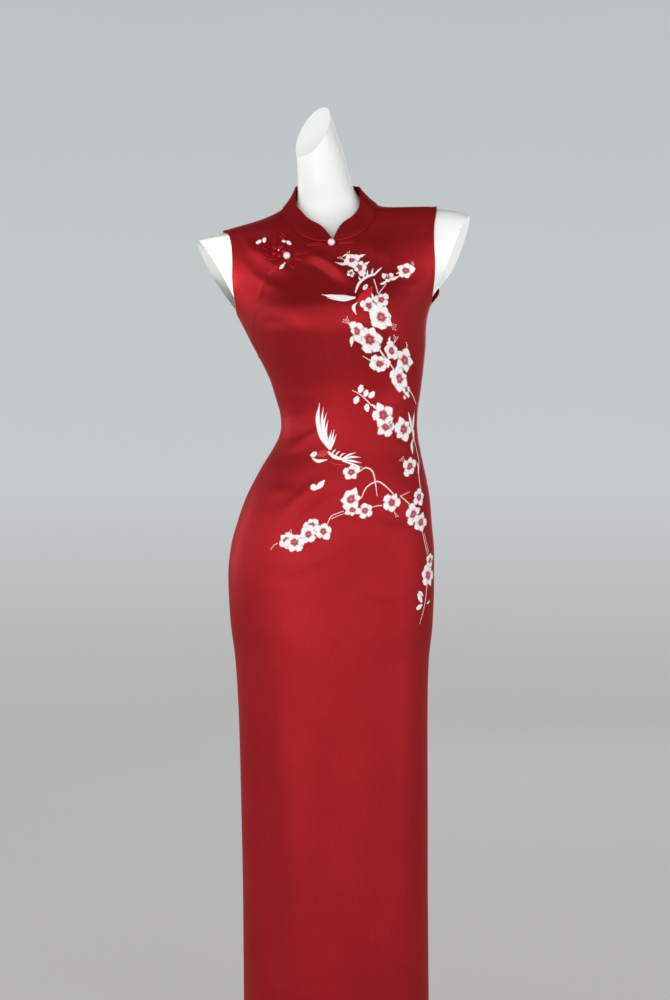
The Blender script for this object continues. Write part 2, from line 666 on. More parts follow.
# %% [markdown]
# ## Crimson silk satin
# Satin is woven with long floats of warp on its face, so it reflects light in its own colour, softly
# along the threads and sharply across them. A little metallic gives that coloured shine, and a
# roughness of about a half keeps it broad. Its threads are far too fine to be seen, but the slubs in
# them are not: a noise drawn out along the warp varies the dye and the gloss in fine upright lines.
# A slow noise lets the pressing vary a little.

# %% Satin
def satin(name, deep, bright, shine=0.44):
    cloth, tree, shader = new_material(name, {
        "Metallic": 0.50, "Specular IOR Level": 0.32, "Specular Tint": linear("#ff7e9e"), "IOR": 1.46,
        "Anisotropic": 0.45, "Sheen Weight": 0.05, "Sheen Roughness": 0.35,
        "Sheen Tint": linear("#ff5a70")})
    cut = node(tree, "ShaderNodeUVMap", uv_map="cut").outputs["UV"]
    place = node(tree, "ShaderNodeTexCoord").outputs["Object"]
    pressing = noise(tree, place, 9.0, 3.0)
    warp = node(tree, "ShaderNodeMapping", {"Vector": cut, "Scale": (900.0, 35.0, 1.0)}).outputs["Vector"]
    slubs = noise(tree, warp, 1.0, 4.0)
    both = node(tree, "ShaderNodeMath", {0: pressing, 1: slubs}, operation="MULTIPLY").outputs["Value"]
    tone = mix(tree, map_range(tree, both, 0.0, 1.0, 0.12, 0.40), linear(deep), linear(bright))
    tree.links.new(tone, shader.inputs["Base Color"])
    tree.links.new(map_range(tree, slubs, shine - 0.05, shine + 0.05), shader.inputs["Roughness"])
    ripple = relief(tree, pressing, 0.10, 0.004)
    tree.links.new(relief(tree, slubs, 0.05, 0.0002).outputs["Normal"], ripple.inputs["Normal"])
    tree.links.new(ripple.outputs["Normal"], shader.inputs["Normal"])
    tangent = node(tree, "ShaderNodeTangent", direction_type="UV_MAP", uv_map="cut")
    tree.links.new(tangent.outputs["Tangent"], shader.inputs["Tangent"])
    return cloth


CRIMSON = satin("crimson_silk_satin", "#961b1f", "#a42226")
GLOSSY = satin("crimson_rouleau_satin", "#a01420", "#c02430", shine=0.30)
print("made", CRIMSON.name)

# %% [markdown]
# ## Moulded form, pearl and steel
# The form is moulded plastic, sprayed with satin lacquer: off-white, a soft gloss, and the faint orange
# peel that spraying leaves. The buttons are cultured pearls, a warm white with a thin clear coat. The
# stand is brushed steel, with fine scratches round the pole and the base.

# %% Lacquer, pearl and steel
def lacquer():
    paint, tree, shader = new_material("satin_lacquer_on_moulded_plastic", {
        "IOR": 1.5, "Coat Weight": 0.15, "Coat Roughness": 0.3, "Subsurface Weight": 0.0})
    place = node(tree, "ShaderNodeTexCoord").outputs["Object"]
    cloud = noise(tree, place, 6.0, 3.0)
    tree.links.new(mix(tree, cloud, linear("#eceeea"), linear("#f4f6f2")), shader.inputs["Base Color"])
    tree.links.new(map_range(tree, cloud, 0.38, 0.5), shader.inputs["Roughness"])
    peel = relief(tree, noise(tree, place, 450.0, 1.0), 0.08, 0.0003)
    tree.links.new(peel.outputs["Normal"], shader.inputs["Normal"])
    return paint


def pearl():
    nacre, tree, shader = new_material("cultured_pearl", {
        "IOR": 1.6, "Roughness": 0.16, "Coat Weight": 0.8, "Coat Roughness": 0.05})
    facing = node(tree, "ShaderNodeLayerWeight", {"Blend": 0.35}).outputs["Facing"]
    place = node(tree, "ShaderNodeTexCoord").outputs["Object"]
    lustre = mix(tree, facing, linear("#f7e9df"), linear("#c99f8c"))
    tone = mix(tree, noise(tree, place, 160.0, 2.0), lustre, linear("#f7f1ee"))
    tree.links.new(tone, shader.inputs["Base Color"])
    return nacre


def brushed_steel():
    steel, tree, shader = new_material("brushed_stainless_steel", {
        "Metallic": 1.0, "Base Color": linear("#bfc0c2")})
    place = node(tree, "ShaderNodeTexCoord").outputs["Object"]
    stretched = node(tree, "ShaderNodeMapping", {"Vector": place, "Scale": (40.0, 40.0, 1400.0)})
    scratch = noise(tree, stretched.outputs["Vector"], 1.0, 5.0)
    tree.links.new(map_range(tree, scratch, 0.22, 0.42), shader.inputs["Roughness"])
    tree.links.new(relief(tree, scratch, 0.15, 0.0002).outputs["Normal"], shader.inputs["Normal"])
    return steel


LACQUER, PEARLY, STEEL = lacquer(), pearl(), brushed_steel()
print("made", LACQUER.name, PEARLY.name, STEEL.name)

# %% [markdown]
# ## Making a cloth piece
# A pattern piece is a sheet with four sides, so a grid of places fits it: rows that run across and
# columns that run up. Two grids, the inner and the outer face, are closed into a wall along their
# edges. The columns and rows crowd together near the edges, where the cloth is turned, stitched and
# pressed, and where a tailor's eye looks first.

# %% Meshes from grids
def finish_mesh(name, points, faces, materials, uv=None, sharp=40):
    """A mesh object at the origin with outward faces."""
    mesh = bpy.data.meshes.new(name)
    mesh.from_pydata([tuple(point) for point in points], [], faces)
    if uv is not None:
        layer = mesh.uv_layers.new(name="cut")
        at = np.empty(len(mesh.loops), dtype=np.int32)
        mesh.loops.foreach_get("vertex_index", at)
        layer.data.foreach_set("uv", np.asarray(uv, dtype=np.float32)[at].ravel())
    bm = bmesh.new()
    bm.from_mesh(mesh)
    bmesh.ops.recalc_face_normals(bm, faces=bm.faces)
    if bm.calc_volume(signed=True) < 0:
        bmesh.ops.reverse_faces(bm, faces=bm.faces)
    bm.to_mesh(mesh)
    bm.free()
    for material in materials:
        mesh.materials.append(material)
    mesh.shade_smooth()
    mesh.set_sharp_from_angle(angle=math.radians(sharp))
    return add_object(name, mesh)


def wall(name, inner, outer, uv, material):
    """Close two matching grids of points into a wall."""
    rows, columns = inner.shape[:2]
    index = np.arange(rows * columns).reshape(rows, columns)
    shift = rows * columns
    quads = np.stack([index[:-1, :-1], index[:-1, 1:], index[1:, 1:], index[1:, :-1]], axis=-1)
    quads = quads.reshape(-1, 4)
    rim = list(index[0]) + list(index[1:, -1]) + list(index[-1, -2::-1]) + list(index[-2:0:-1, 0])
    sides = [(a, b, b + shift, a + shift) for a, b in zip(rim, rim[1:] + rim[:1])]
    faces = quads[:, ::-1].tolist() + (quads + shift).tolist() + [tuple(map(int, side)) for side in sides]
    points = np.concatenate([inner.reshape(-1, 3), outer.reshape(-1, 3)])
    both = np.concatenate([uv.reshape(-1, 2)] * 2)
    return finish_mesh(name, points, faces, [material], both)


def edge_distances(grid):
    """Distance of each point from the grid's four borders, along its row or its column."""
    across = np.linalg.norm(np.diff(grid, axis=1), axis=-1)
    up = np.linalg.norm(np.diff(grid, axis=0), axis=-1)
    left = np.concatenate([np.zeros((len(grid), 1)), np.cumsum(across, axis=1)], axis=1)
    low = np.concatenate([np.zeros((1, grid.shape[1])), np.cumsum(up, axis=0)], axis=0)
    return left, left[:, -1:] - left, low, low[-1:] - low


def square_to(inwards, along):
    along = unit(along)
    return unit(inwards - along * np.sum(inwards * along, axis=-1, keepdims=True))


def draw_in(grid, distance):
    """Steps that move a grid's border inwards, square to it, to leave a seam's gap beside it."""
    moves = np.zeros_like(grid)
    along = np.gradient(grid, axis=1)
    moves[0] += square_to(grid[1] - grid[0], along[0])
    moves[-1] += square_to(grid[-2] - grid[-1], along[-1])
    along = np.gradient(grid, axis=0)
    moves[:, 0] += square_to(grid[:, 1] - grid[:, 0], along[:, 0])
    moves[:, -1] += square_to(grid[:, -2] - grid[:, -1], along[:, -1])
    return moves * distance


# %% Edges of the pattern pieces
def path_through(points, fine=24):
    """A smooth path through 2-D points, as a function of shares of its length."""
    points = np.array(points, dtype=float)
    ends = np.vstack([points[0] * 2 - points[1], points, points[-1] * 2 - points[-2]])
    line = []
    for a, b, c, d in zip(ends, ends[1:], ends[2:], ends[3:]):
        t = np.linspace(0, 1, fine, endpoint=False)[:, None]
        line.append(0.5 * (2 * b + (c - a) * t + (2 * a - 5 * b + 4 * c - d) * t * t
                           + (3 * b - a - 3 * c + d) * t ** 3))
    line = np.vstack(line + [points[-1:]])
    length = np.concatenate([[0], np.cumsum(np.linalg.norm(np.diff(line, axis=0), axis=1))])

    def place(share):
        want = np.asarray(share) * length[-1]
        return np.stack([np.interp(want, length, line[:, k]) for k in (0, 1)], axis=-1)

    return place


def neckline(share):
    """Half of the front neckline, from the centre front, 0, to the shoulder seam, 1."""
    angle = np.asarray(share) * math.pi / 2
    aside = NECK_HALF_WIDTH * np.sin(angle) ** (2 / 2.4)
    return np.stack([aside, NECK_SIDE - (NECK_SIDE - NECK_FRONT) * np.cos(angle)], axis=-1)


opening_line = path_through([(-half_width(OPENING_FOOT), OPENING_FOOT)] + [tuple(p) for p in OPENING]
                            + [(0, NECK_FRONT)])
armhole_line, back_right_line, back_left_line = [
    path_through([(half_width(UNDERARM), UNDERARM)] + [tuple(p) for p in points]
                 + [(half_width(SHOULDER_TIP), SHOULDER_TIP)])
    for points in (ARMHOLE, ARMHOLE_BACK_RIGHT, ARMHOLE_BACK_LEFT)]


def side_line(share):
    """The outer edge above the opening's foot: first the side seam, then the armhole."""
    share = np.asarray(share, dtype=float)
    seam = np.stack([np.ones_like(share),
                     OPENING_FOOT + (UNDERARM - OPENING_FOOT) * share / SIDE_SHARE], -1)
    place = armhole_line(np.clip((share - SIDE_SHARE) / (1 - SIDE_SHARE), 0, 1))
    hole = np.stack([turn_at(place[..., 0], place[..., 1]), place[..., 1]], axis=-1)
    return np.where((share <= SIDE_SHARE)[..., None], seam, hole)


def yoke_ends(side):
    """Inner and outer ends, as turns and heights, of the rows above the opening's foot."""
    shares = np.linspace(0, 1, OPENING_ROWS + 1) ** OPENING_SPREAD
    inner = opening_line(shares)
    inner = np.stack([turn_at(inner[:, 0], inner[:, 1]), inner[:, 1]], axis=-1)
    outer = side_line(YOKE_SPLIT * shares)
    shares = (1 - np.cos(np.linspace(0, math.pi, NECK_ROWS + 1)[1:])) / 2
    neck = neckline(shares)
    neck = np.stack([turn_at(side * neck[:, 0], neck[:, 1]), neck[:, 1]], axis=-1)
    inner = np.vstack([inner, neck])
    outer = np.vstack([outer, side_line(YOKE_SPLIT + (1 - YOKE_SPLIT) * shares)])
    inner[-1] = side, NECK_SIDE
    outer[-1] = 1.0, SHOULDER_TIP
    return inner, outer * np.array([side, 1.0])


def slit_turn(height):
    """How far the side slit keeps a panel's edge off the side, as a turn."""
    return SLIT_GAP * np.maximum(SLIT_TOP - height, 0) / (SLIT_TOP - HEM) / front_depth(height)


def shares_across(width, columns):
    """Shares of a row's width for its columns, crowded at both ends."""
    edge = np.array(EDGE_STEPS)[None, :] / np.asarray(width)[:, None]
    middle = np.linspace(0, 1, columns + 2)[1:-1]
    middle = edge[:, -1:] + (1 - 2 * edge[:, -1:]) * middle
    return np.hstack([edge, middle, 1 - edge[:, ::-1]])


EDGE_STEPS = tuple(mm * MM for mm in (0, 0.4, 0.9, 1.6, 2.6, 4.0, 5.4, 6.2, 7.0, 8.4, 10.5))


def grid_between(start, end, columns):
    """Places in rows between two edges, each a list of (turn, height)."""
    def width_of(a, b):
        t = np.linspace(0, 1, 25)[:, None, None]
        line = a + (b - a) * t
        return np.linalg.norm(np.diff(skin(line[..., 0], line[..., 1]), axis=0), axis=-1).sum(axis=0)

    share = shares_across(width_of(start, end), columns)[..., None]
    return start[:, None, :] * (1 - share) + end[:, None, :] * share


def level_heights(top, above_skirt):
    """Heights of level rows, from the hem up, crowded at the hem."""
    hem = HEM + np.array(EDGE_STEPS)
    return np.concatenate([hem, np.linspace(HEM + 0.016, SLIT_TOP, 56)[:-1],
                           np.linspace(SLIT_TOP, top, above_skirt)[:-1]])


# %% [markdown]
# ## How the edges are finished
# Each edge of a cheongsam is finished in its own way, and each finish lifts the satin by a few tenths
# of a millimetre. A pressed seam sinks a little at its line. An armhole is turned in by 6.5 mm and held
# by hand stitches, which leave a shallow groove. The lap of the front lies over the side front, so its
# edge stands proud and rounds over. The hem and the slits are turned in wider.

# %% Edge finishes
def pressed_seam(distance):
    return -0.42 * MM * bell(distance / (1.9 * MM))


def turned_edge(distance, turn_in):
    """A rounded brink, a slightly thicker band, and a groove where the hand stitches hold it."""
    brink = -0.40 * MM * bell(distance / (0.55 * MM))
    band = 0.30 * MM * (1 - soft_step((distance - turn_in) / (1.6 * MM)))
    groove = -0.34 * MM * bell((distance - turn_in) / (0.85 * MM))
    return brink + band + groove


def lapped_edge(distance):
    brink = -0.30 * MM * bell(distance / (0.5 * MM))
    return brink + 0.75 * MM * (1 - soft_step((distance - 4 * MM) / (9 * MM)))


def outer_edge(distance, height):
    """A panel's outer edge: turned in at the armhole and at the slit, a pressed seam between them."""
    below = np.where(height < SLIT_TOP, turned_edge(distance, SLIT_TURN_IN), pressed_seam(distance))
    return np.where(height > UNDERARM, turned_edge(distance, ARM_TURN_IN), below)


def panel(name, places, finish_edges, material):
    """A cloth panel over a grid of places. finish_edges gives the lift of its outer face."""
    turn, height = places[..., 0], places[..., 1]
    base = cloth_point(turn, height, 0.0)
    lift = finish_edges(edge_distances(base), turn, height)
    moves = draw_in(base, SEAM * 0.7)
    inner = base + moves
    outer = cloth_point(turn, height, CLOTH + lift) + moves
    middle = places.shape[1] // 2
    along = edge_distances(base)[0]
    uv = np.stack([along - along[:, middle:middle + 1], height], axis=-1)
    return wall(name, inner, outer, uv, material)


def front_places(columns=92):
    level = level_heights(OPENING_FOOT, 112)
    edge = 1 - slit_turn(level)
    inner, outer = yoke_ends(1)
    start = np.vstack([np.stack([-edge, level], axis=-1), inner])
    end = np.vstack([np.stack([edge, level], axis=-1), outer])
    return grid_between(start, end, columns)


def front_edges(distances, turn, height):
    left, right, low, high = distances
    first, first_turn = height[:, :1], turn[:, :1]
    yoke = np.arange(len(height))[:, None] >= len(height) - (OPENING_ROWS + NECK_ROWS + 1)
    on_opening = yoke & (first_turn < -0.004)
    on_neck = (first > NECK_FRONT - 1e-6) & (first_turn > -0.004)
    lift = np.where(on_opening, lapped_edge(left), np.where(on_neck, pressed_seam(left), 0))
    side = np.where(first < SLIT_TOP, turned_edge(left, SLIT_TURN_IN), pressed_seam(left))
    lift += np.where(on_opening | on_neck, 0, side)
    return lift + outer_edge(right, height[:, -1:]) + (turned_edge(low, HEM_TURN_IN) + pressed_seam(high))


def side_front_places(columns=26):
    inner, outer = yoke_ends(-1)
    return grid_between(outer[1:], inner[1:], columns)


def side_front_edges(distances, _, height):
    left, right, _, high = distances
    under_lap = -0.30 * MM * (1 - soft_step(right / (3 * MM)))
    return outer_edge(left, height[:, :1]) + under_lap + pressed_seam(high)


FRONT = panel("front_cloth", front_places(), front_edges, CRIMSON)
SIDE_FRONT = panel("side_front_cloth", side_front_places(), side_front_edges, CRIMSON)
print("front:", len(FRONT.data.polygons), "faces; side front:", len(SIDE_FRONT.data.polygons))


# %% Back
def back_line(aside):
    """Height of the upper edge of the back, over places this far aside."""
    heights = np.linspace(STUMP_TOP_HEIGHT, NECK_SIDE, 400)
    on_seam = np.interp(-np.abs(aside), -half_width(heights), heights)
    neck = NECK_SIDE + (NECK_BACK - NECK_SIDE) * np.cos(np.abs(aside) / NECK_HALF_WIDTH * math.pi / 2)
    return np.where(np.abs(aside) < NECK_HALF_WIDTH, neck, on_seam)


def back_places(columns=92, yoke=70):
    level = np.concatenate([level_heights(OPENING_FOOT, 112), np.linspace(OPENING_FOOT, UNDERARM, 16)])
    edge = slit_turn(level)
    body = grid_between(np.stack([1 + edge, level], -1), np.stack([3 - edge, level], -1), columns)
    foot = upright_place(body[-1, :, 0], body[-1, :, 1])[0]
    share = np.linspace(0, 1, body.shape[1])
    top_share = np.interp(share, [0, 1 / 3, 2 / 3, 1], [0, 1, 2, 3])
    top_turn = np.clip(
        np.where(top_share < 1, 1, np.where(top_share > 2, 3, 1 + 2 * (top_share - 1))), 1, 3)
    seam = np.minimum(top_share, 3 - top_share)
    top_height = np.where(seam < 1, SHOULDER_TIP + (NECK_SIDE - SHOULDER_TIP) * seam,
                          NECK_SIDE + (NECK_BACK - NECK_SIDE)
                          * np.sin(np.clip(top_share - 1, 0, 1) * math.pi))
    head = upright_place(top_turn, top_height)[0]
    rows = []
    for t in 1 - (1 - np.linspace(0, 1, yoke + 1)[1:-1]) ** 1.6:
        right, left = back_right_line(t), back_left_line(t)
        climb_right, climb_left = [(edge[1] - UNDERARM) / (SHOULDER_TIP - UNDERARM)
                                   for edge in (right, left)]
        widen_right = right[0] - (foot[0] + (head[0] - foot[0]) * climb_right)
        widen_left = -left[0] - (foot[-1] + (head[-1] - foot[-1]) * climb_left)
        climb = climb_right + (climb_left - climb_right) * share
        aside = foot + (head - foot) * climb + widen_right + (widen_left - widen_right) * share
        height = UNDERARM + climb * (back_line(aside) - UNDERARM)
        rows.append(np.stack([2 - turn_at(aside, height), height], axis=-1))
    return np.concatenate([body, np.array(rows), np.stack([top_turn, top_height], -1)[None]])


def back_edges(distances, _, height):
    left, right, low, high = distances
    side = outer_edge(np.minimum(left, right), height[:, :1])
    return side + turned_edge(low, HEM_TURN_IN) + pressed_seam(high)


BACK = panel("back_cloth", back_places(), back_edges, CRIMSON)
print("back:", len(BACK.data.polygons), "faces")

# %% [markdown]
# ## Embroidery: from the flat cloth to the dress
# Plum blossom with two birds is worked in silk floss before the dress is sewn up. So each place is given
# as it lies on the cloth: millimetres along the cloth from the centre front, and the height. A chart of
# the cloth turns such a place back into a point of the dress, and the stitches then follow every curve
# and crease of the cloth they are sewn to.

# %% Chart of the front
def chart(low, high, reach, rows=301, columns=401):
    """Turns on the front cloth for places at regular steps along it, row by row."""
    heights = np.linspace(low, high, rows)
    turns = np.linspace(-1, 1, columns)
    line = skin(*np.meshgrid(turns, heights))
    run = np.concatenate([np.zeros((rows, 1)),
                          np.cumsum(np.linalg.norm(np.diff(line, axis=1), axis=-1), axis=1)],
                         axis=1)
    run -= run[:, columns // 2][:, None]
    along = np.linspace(-reach, reach, columns)
    return heights, along, np.array([np.interp(along, row, turns) for row in run])


CHART = chart(0.70, 1.40, 0.24)


def laid(flat):
    """Points of the dress for places (mm along, mm high, mm off the cloth)."""
    heights, along, turns = CHART
    along_at, height, lift = (flat[:, k] * MM for k in range(3))
    row = np.clip((height - heights[0]) / (heights[1] - heights[0]), 0, len(heights) - 1.001)
    column = np.clip((along_at - along[0]) / (along[1] - along[0]), 0, len(along) - 1.001)
    i, j = row.astype(int), column.astype(int)
    v, u = row - i, column - j
    turn = ((turns[i, j] * (1 - u) + turns[i, j + 1] * u) * (1 - v)
            + (turns[i + 1, j] * (1 - u) + turns[i + 1, j + 1] * u) * v)
    return cloth_point(turn, height, CLOTH + lift)


# %% Pillows of stitches
STITCH_RING = ((-1.0, 0.0), (-0.88, 0.52), (-0.48, 0.90), (0.0, 1.0),
               (0.48, 0.90), (0.88, 0.52), (1.0, 0.0))
OFF_CLOTH = 0.04        # mm of air under the floss


def pillow(points, widths, high, segments=18):
    """A stroke of satin stitch: rings of points round a path, and where each lies in the stroke."""
    share = (1 - np.cos(np.linspace(0, math.pi, segments + 1))) / 2
    place = path_through(points)
    line = place(share)
    ahead = place(np.minimum(share + 0.01, 1)) - place(np.maximum(share - 0.01, 0))
    side = np.stack([-ahead[:, 1], ahead[:, 0]], axis=-1) / np.linalg.norm(ahead, axis=1)[:, None]
    step = share * (len(widths) - 1)
    k = np.minimum(step.astype(int), len(widths) - 2)
    width = np.array(widths)[k] + (np.array(widths)[k + 1] - np.array(widths)[k]) * soft_step(step - k)
    across, swell = np.array(STITCH_RING).T
    spread = across * width[:, None] / 2
    flat = line[:, None, :] + side[:, None, :] * spread[..., None]
    puff = high * np.minimum(1, width / (0.35 * max(widths))) ** 0.6
    lift = OFF_CLOTH + puff[:, None] * swell
    run = share * np.linalg.norm(np.diff(line, axis=0), axis=1).sum()
    uv = np.stack([spread, np.broadcast_to(run[:, None], spread.shape)], axis=-1)
    return np.concatenate([flat, lift[..., None]], axis=-1), uv


def mark_rim(piece):
    """Mark the rim of each ring with 1 and its middle with 0, for the floss's colour."""
    rim = np.tile([1.0, 0.75, 0.1, 0.0, 0.1, 0.75, 1.0], len(piece.data.vertices) // len(STITCH_RING))
    piece.data.attributes.new("rim", "FLOAT", "POINT").data.foreach_set("value", rim.astype(np.float32))
    return piece


def embroidered(name, strokes, high, material):
    """One piece of many strokes, each (points, widths), laid on the cloth."""
    points, uv, faces = [], [], []
    for number, (path, widths) in enumerate(strokes):
        flat, stitch = pillow(path, widths, high + 0.015 * (number % 4))
        faces += ring_faces(*flat.shape[:2], start=len(points) * len(STITCH_RING))
        points += list(flat)
        uv += list(stitch)
    flat = np.concatenate(points)
    return mark_rim(finish_mesh(name, laid(flat), faces, [material], np.concatenate(uv), sharp=60))


# %% [markdown]
# ## Floss
# Silk floss is laid in long parallel stitches, so it shines along each one and shows a fine line between
# neighbours. A sine across the stitches gives those lines to the colour and to a small bump. On the
# petals the colour runs along the stitch, from a rose heart through pink to white, as a maker blends
# the threads, and a noise makes the meeting of the colours ragged.

# %% Floss
STITCH_PITCH = 0.45     # mm from one stitch to the next


def floss(name, shades, edge, slant=0.0, shine=0.42):
    """Embroidery silk. shades are (place along the stitch, colour), edge the colour of its outline, and
    slant turns the stitches, in degrees."""
    silk, tree, shader = new_material(name, {"Roughness": shine, "Sheen Weight": 0.15, "Anisotropic": 0.4})
    cut = node(tree, "ShaderNodeUVMap", uv_map="cut").outputs["UV"]
    place = node(tree, "ShaderNodeTexCoord").outputs["Object"]
    turned_uv = node(tree, "ShaderNodeMapping", {"Vector": cut, "Rotation": (0, 0, math.radians(slant))})
    across = node(tree, "ShaderNodeSeparateXYZ", {"Vector": turned_uv.outputs["Vector"]}).outputs["X"]
    wavy = node(tree, "ShaderNodeMath", {0: across, 1: 2 * math.pi / STITCH_PITCH}, operation="MULTIPLY")
    line = node(tree, "ShaderNodeMath", {0: wavy.outputs["Value"]}, operation="SINE").outputs["Value"]
    drawn_out = node(tree, "ShaderNodeMapping", {"Vector": cut, "Scale": (2.2, 0.9, 1.0)}).outputs["Vector"]
    moved_on = node(tree, "ShaderNodeVectorMath", {0: place, 1: (70, 70, 70), 2: drawn_out},
                    operation="MULTIPLY_ADD").outputs["Vector"]
    along = node(tree, "ShaderNodeSeparateXYZ", {"Vector": cut}).outputs["Y"]
    ragged = node(tree, "ShaderNodeMath", {0: noise(tree, moved_on, 1.0, 2.0), 1: 0.40, 2: along},
                  operation="MULTIPLY_ADD")
    blend = node(tree, "ShaderNodeValToRGB", {"Fac": ragged.outputs["Value"]})
    colour_ramp(blend.color_ramp, shades)
    shade = map_range(tree, line, 0.93, 1.0, -1.0, 1.0)
    marked = node(tree, "ShaderNodeAttribute", attribute_name="rim").outputs["Fac"]
    rim = map_range(tree, marked, 0.0, 1.0, 0.45, 0.95)
    outlined = mix(tree, rim, blend.outputs["Color"], linear(edge))
    grey = node(tree, "ShaderNodeCombineXYZ", {"X": shade, "Y": shade, "Z": shade}).outputs["Vector"]
    dimmed = node(tree, "ShaderNodeVectorMath", {0: outlined, 1: grey}, operation="MULTIPLY")
    tree.links.new(dimmed.outputs["Vector"], shader.inputs["Base Color"])
    tree.links.new(relief(tree, line, 0.35, 0.0001).outputs["Normal"], shader.inputs["Normal"])
    return silk


PETAL_FLOSS = floss("petal_floss", ((0.24, "#dc8088"), (0.30, "#a41c32"), (0.47, "#b02a3c"),
                                    (0.51, "#e39aa2"),
                                    (0.59, "#fdf6f4"), (1.0, "#fffdfb")), "#c98690")
WHITE_FLOSS = floss("white_floss", ((0.0, "#fdf8f5"), (1.0, "#fffdfb")), "#e0b0b4", slant=50)
PINK_FLOSS = floss("pale_pink_floss", ((0.0, "#f8d6d0"), (1.0, "#fce2dc")), "#e6a9a6", slant=60)
STAMEN_FLOSS = floss("stamen_floss", ((0.0, "#f3ccce"), (1.0, "#fbe8e6")), "#eebfc2")
ROSE_FLOSS = floss("rose_floss", ((0.0, "#a81f34"), (1.0, "#b83046")), "#98182a", slant=20)
SCARLET_FLOSS = floss("scarlet_floss", ((0.0, "#c8121e"), (1.0, "#d41a26")), "#b00c18",
                      slant=35, shine=0.35)
DARK_FLOSS = floss("dark_floss", ((0.0, "#2a1a1c"), (1.0, "#33201f")), "#2a1a1c")

# %% [markdown]
# ## Blossoms
# Every blossom is the same few petals, set round a heart at its own size and angle, so Geometry Nodes
# repeats them. Each point of a small mesh is one blossom and carries its radius, its angle, its number
# of petals and how far it is seen from the side. The tree turns it into petals of three forms, and a
# fixed seed makes every petal a little longer, shorter or turned, as hand stitching does.

# %% A tree that repeats things on points
def repeat_tree(name, forms, material, build):
    """A Geometry Nodes tree. build(tree, points, forms) gives the instances; they end as one mesh."""
    tree = bpy.data.node_groups.new(name, "GeometryNodeTree")
    tree.interface.new_socket("Points", in_out="INPUT", socket_type="NodeSocketGeometry")
    tree.interface.new_socket("Seed", in_out="INPUT", socket_type="NodeSocketInt").default_value = 7
    tree.interface.new_socket("Geometry", in_out="OUTPUT", socket_type="NodeSocketGeometry")
    given = node(tree, "NodeGroupInput")
    joined = node(tree, "GeometryNodeJoinGeometry")
    for form in forms[::-1]:
        info = node(tree, "GeometryNodeObjectInfo", {"As Instance": True})
        info.inputs["Object"].default_value = form
        tree.links.new(info.outputs["Geometry"], joined.inputs["Geometry"])
    instances = build(tree, given, joined.outputs["Geometry"])
    real = node(tree, "GeometryNodeRealizeInstances", {"Geometry": instances})
    dressed = node(tree, "GeometryNodeSetMaterial", {"Geometry": real.outputs["Geometry"]})
    dressed.inputs["Material"].default_value = material
    node(tree, "NodeGroupOutput", {"Geometry": dressed.outputs["Geometry"]})
    return tree


def named(tree, name, kind="FLOAT"):
    return node(tree, "GeometryNodeInputNamedAttribute", {"Name": name},
                data_type=kind).outputs["Attribute"]


def sum_up(tree, operation, *values):
    return node(tree, "ShaderNodeMath", dict(enumerate(values)), operation=operation).outputs["Value"]


def chance(tree, seed, low, high, kind="FLOAT"):
    made = node(tree, "FunctionNodeRandomValue", {"Seed": seed}, data_type=kind)
    for label, value in (("Min", low), ("Max", high)):
        [s for s in made.inputs if s.name == label and s.enabled][0].default_value = value
    return [s for s in made.outputs if s.enabled][0]


def grown(name, columns, places, forms, material, build):
    """The mesh that a tree grows on points at flat places with the given columns of numbers."""
    mesh = bpy.data.meshes.new(name)
    mesh.from_pydata([tuple(place) for place in places], [], [])
    for label, values in columns.items():
        values = np.array(values, dtype=np.float32)
        if values.ndim == 2:
            mesh.attributes.new(label, "FLOAT_VECTOR", "POINT").data.foreach_set("vector", values.ravel())
        else:
            mesh.attributes.new(label, "FLOAT", "POINT").data.foreach_set("value", values)
    seed_bed = add_object(name, mesh)
    growth = seed_bed.modifiers.new("repeat", "NODES")
    growth.node_group = repeat_tree(name, forms, material, build)
    bpy.context.view_layer.update()
    result = bpy.data.meshes.new_from_object(seed_bed.evaluated_get(bpy.context.evaluated_depsgraph_get()))
    bpy.data.objects.remove(seed_bed)
    for form in forms:
        bpy.data.objects.remove(form)
    return result


def mesh_piece(name, mesh, points, material, sharp=60):
    """An object from a grown mesh whose points move to new places."""
    mesh.vertices.foreach_set("co", np.asarray(points, dtype=np.float32).ravel())
    bm = bmesh.new()
    bm.from_mesh(mesh)
    bmesh.ops.recalc_face_normals(bm, faces=bm.faces)
    bm.to_mesh(mesh)
    bm.free()
    if not mesh.materials:
        mesh.materials.append(material)
    mesh.shade_smooth()
    mesh.set_sharp_from_angle(angle=math.radians(sharp))
    return add_object(name, mesh)


def flat_points(mesh):
    points = np.empty(len(mesh.vertices) * 3, dtype=np.float32)
    mesh.vertices.foreach_get("co", points)
    return points.reshape(-1, 3).astype(float)


# %% Petal forms
def petal_form(name, widths, high=0.34):
    """A petal one unit long. Its widths are shares of its length; its height is in millimetres."""
    flat, stitch = pillow(((0.03, 0.0), (0.5, 0.0), (1.0, 0.0)), widths, high, segments=13)
    stitch[..., 0] *= 14
    points = flat.reshape(-1, 3)
    return mark_rim(finish_mesh(name, points, ring_faces(*flat.shape[:2]), [PETAL_FLOSS],
                                stitch.reshape(-1, 2), sharp=60))


def petal_forms():
    return [petal_form("petal_pointed", (0.16, 0.34, 0.62, 0.80, 0.66, 0.36, 0.04)),
            petal_form("petal_round", (0.16, 0.36, 0.70, 0.92, 0.88, 0.58, 0.10)),
            petal_form("petal_frilled", (0.16, 0.36, 0.66, 0.96, 0.74, 0.84, 0.12))]


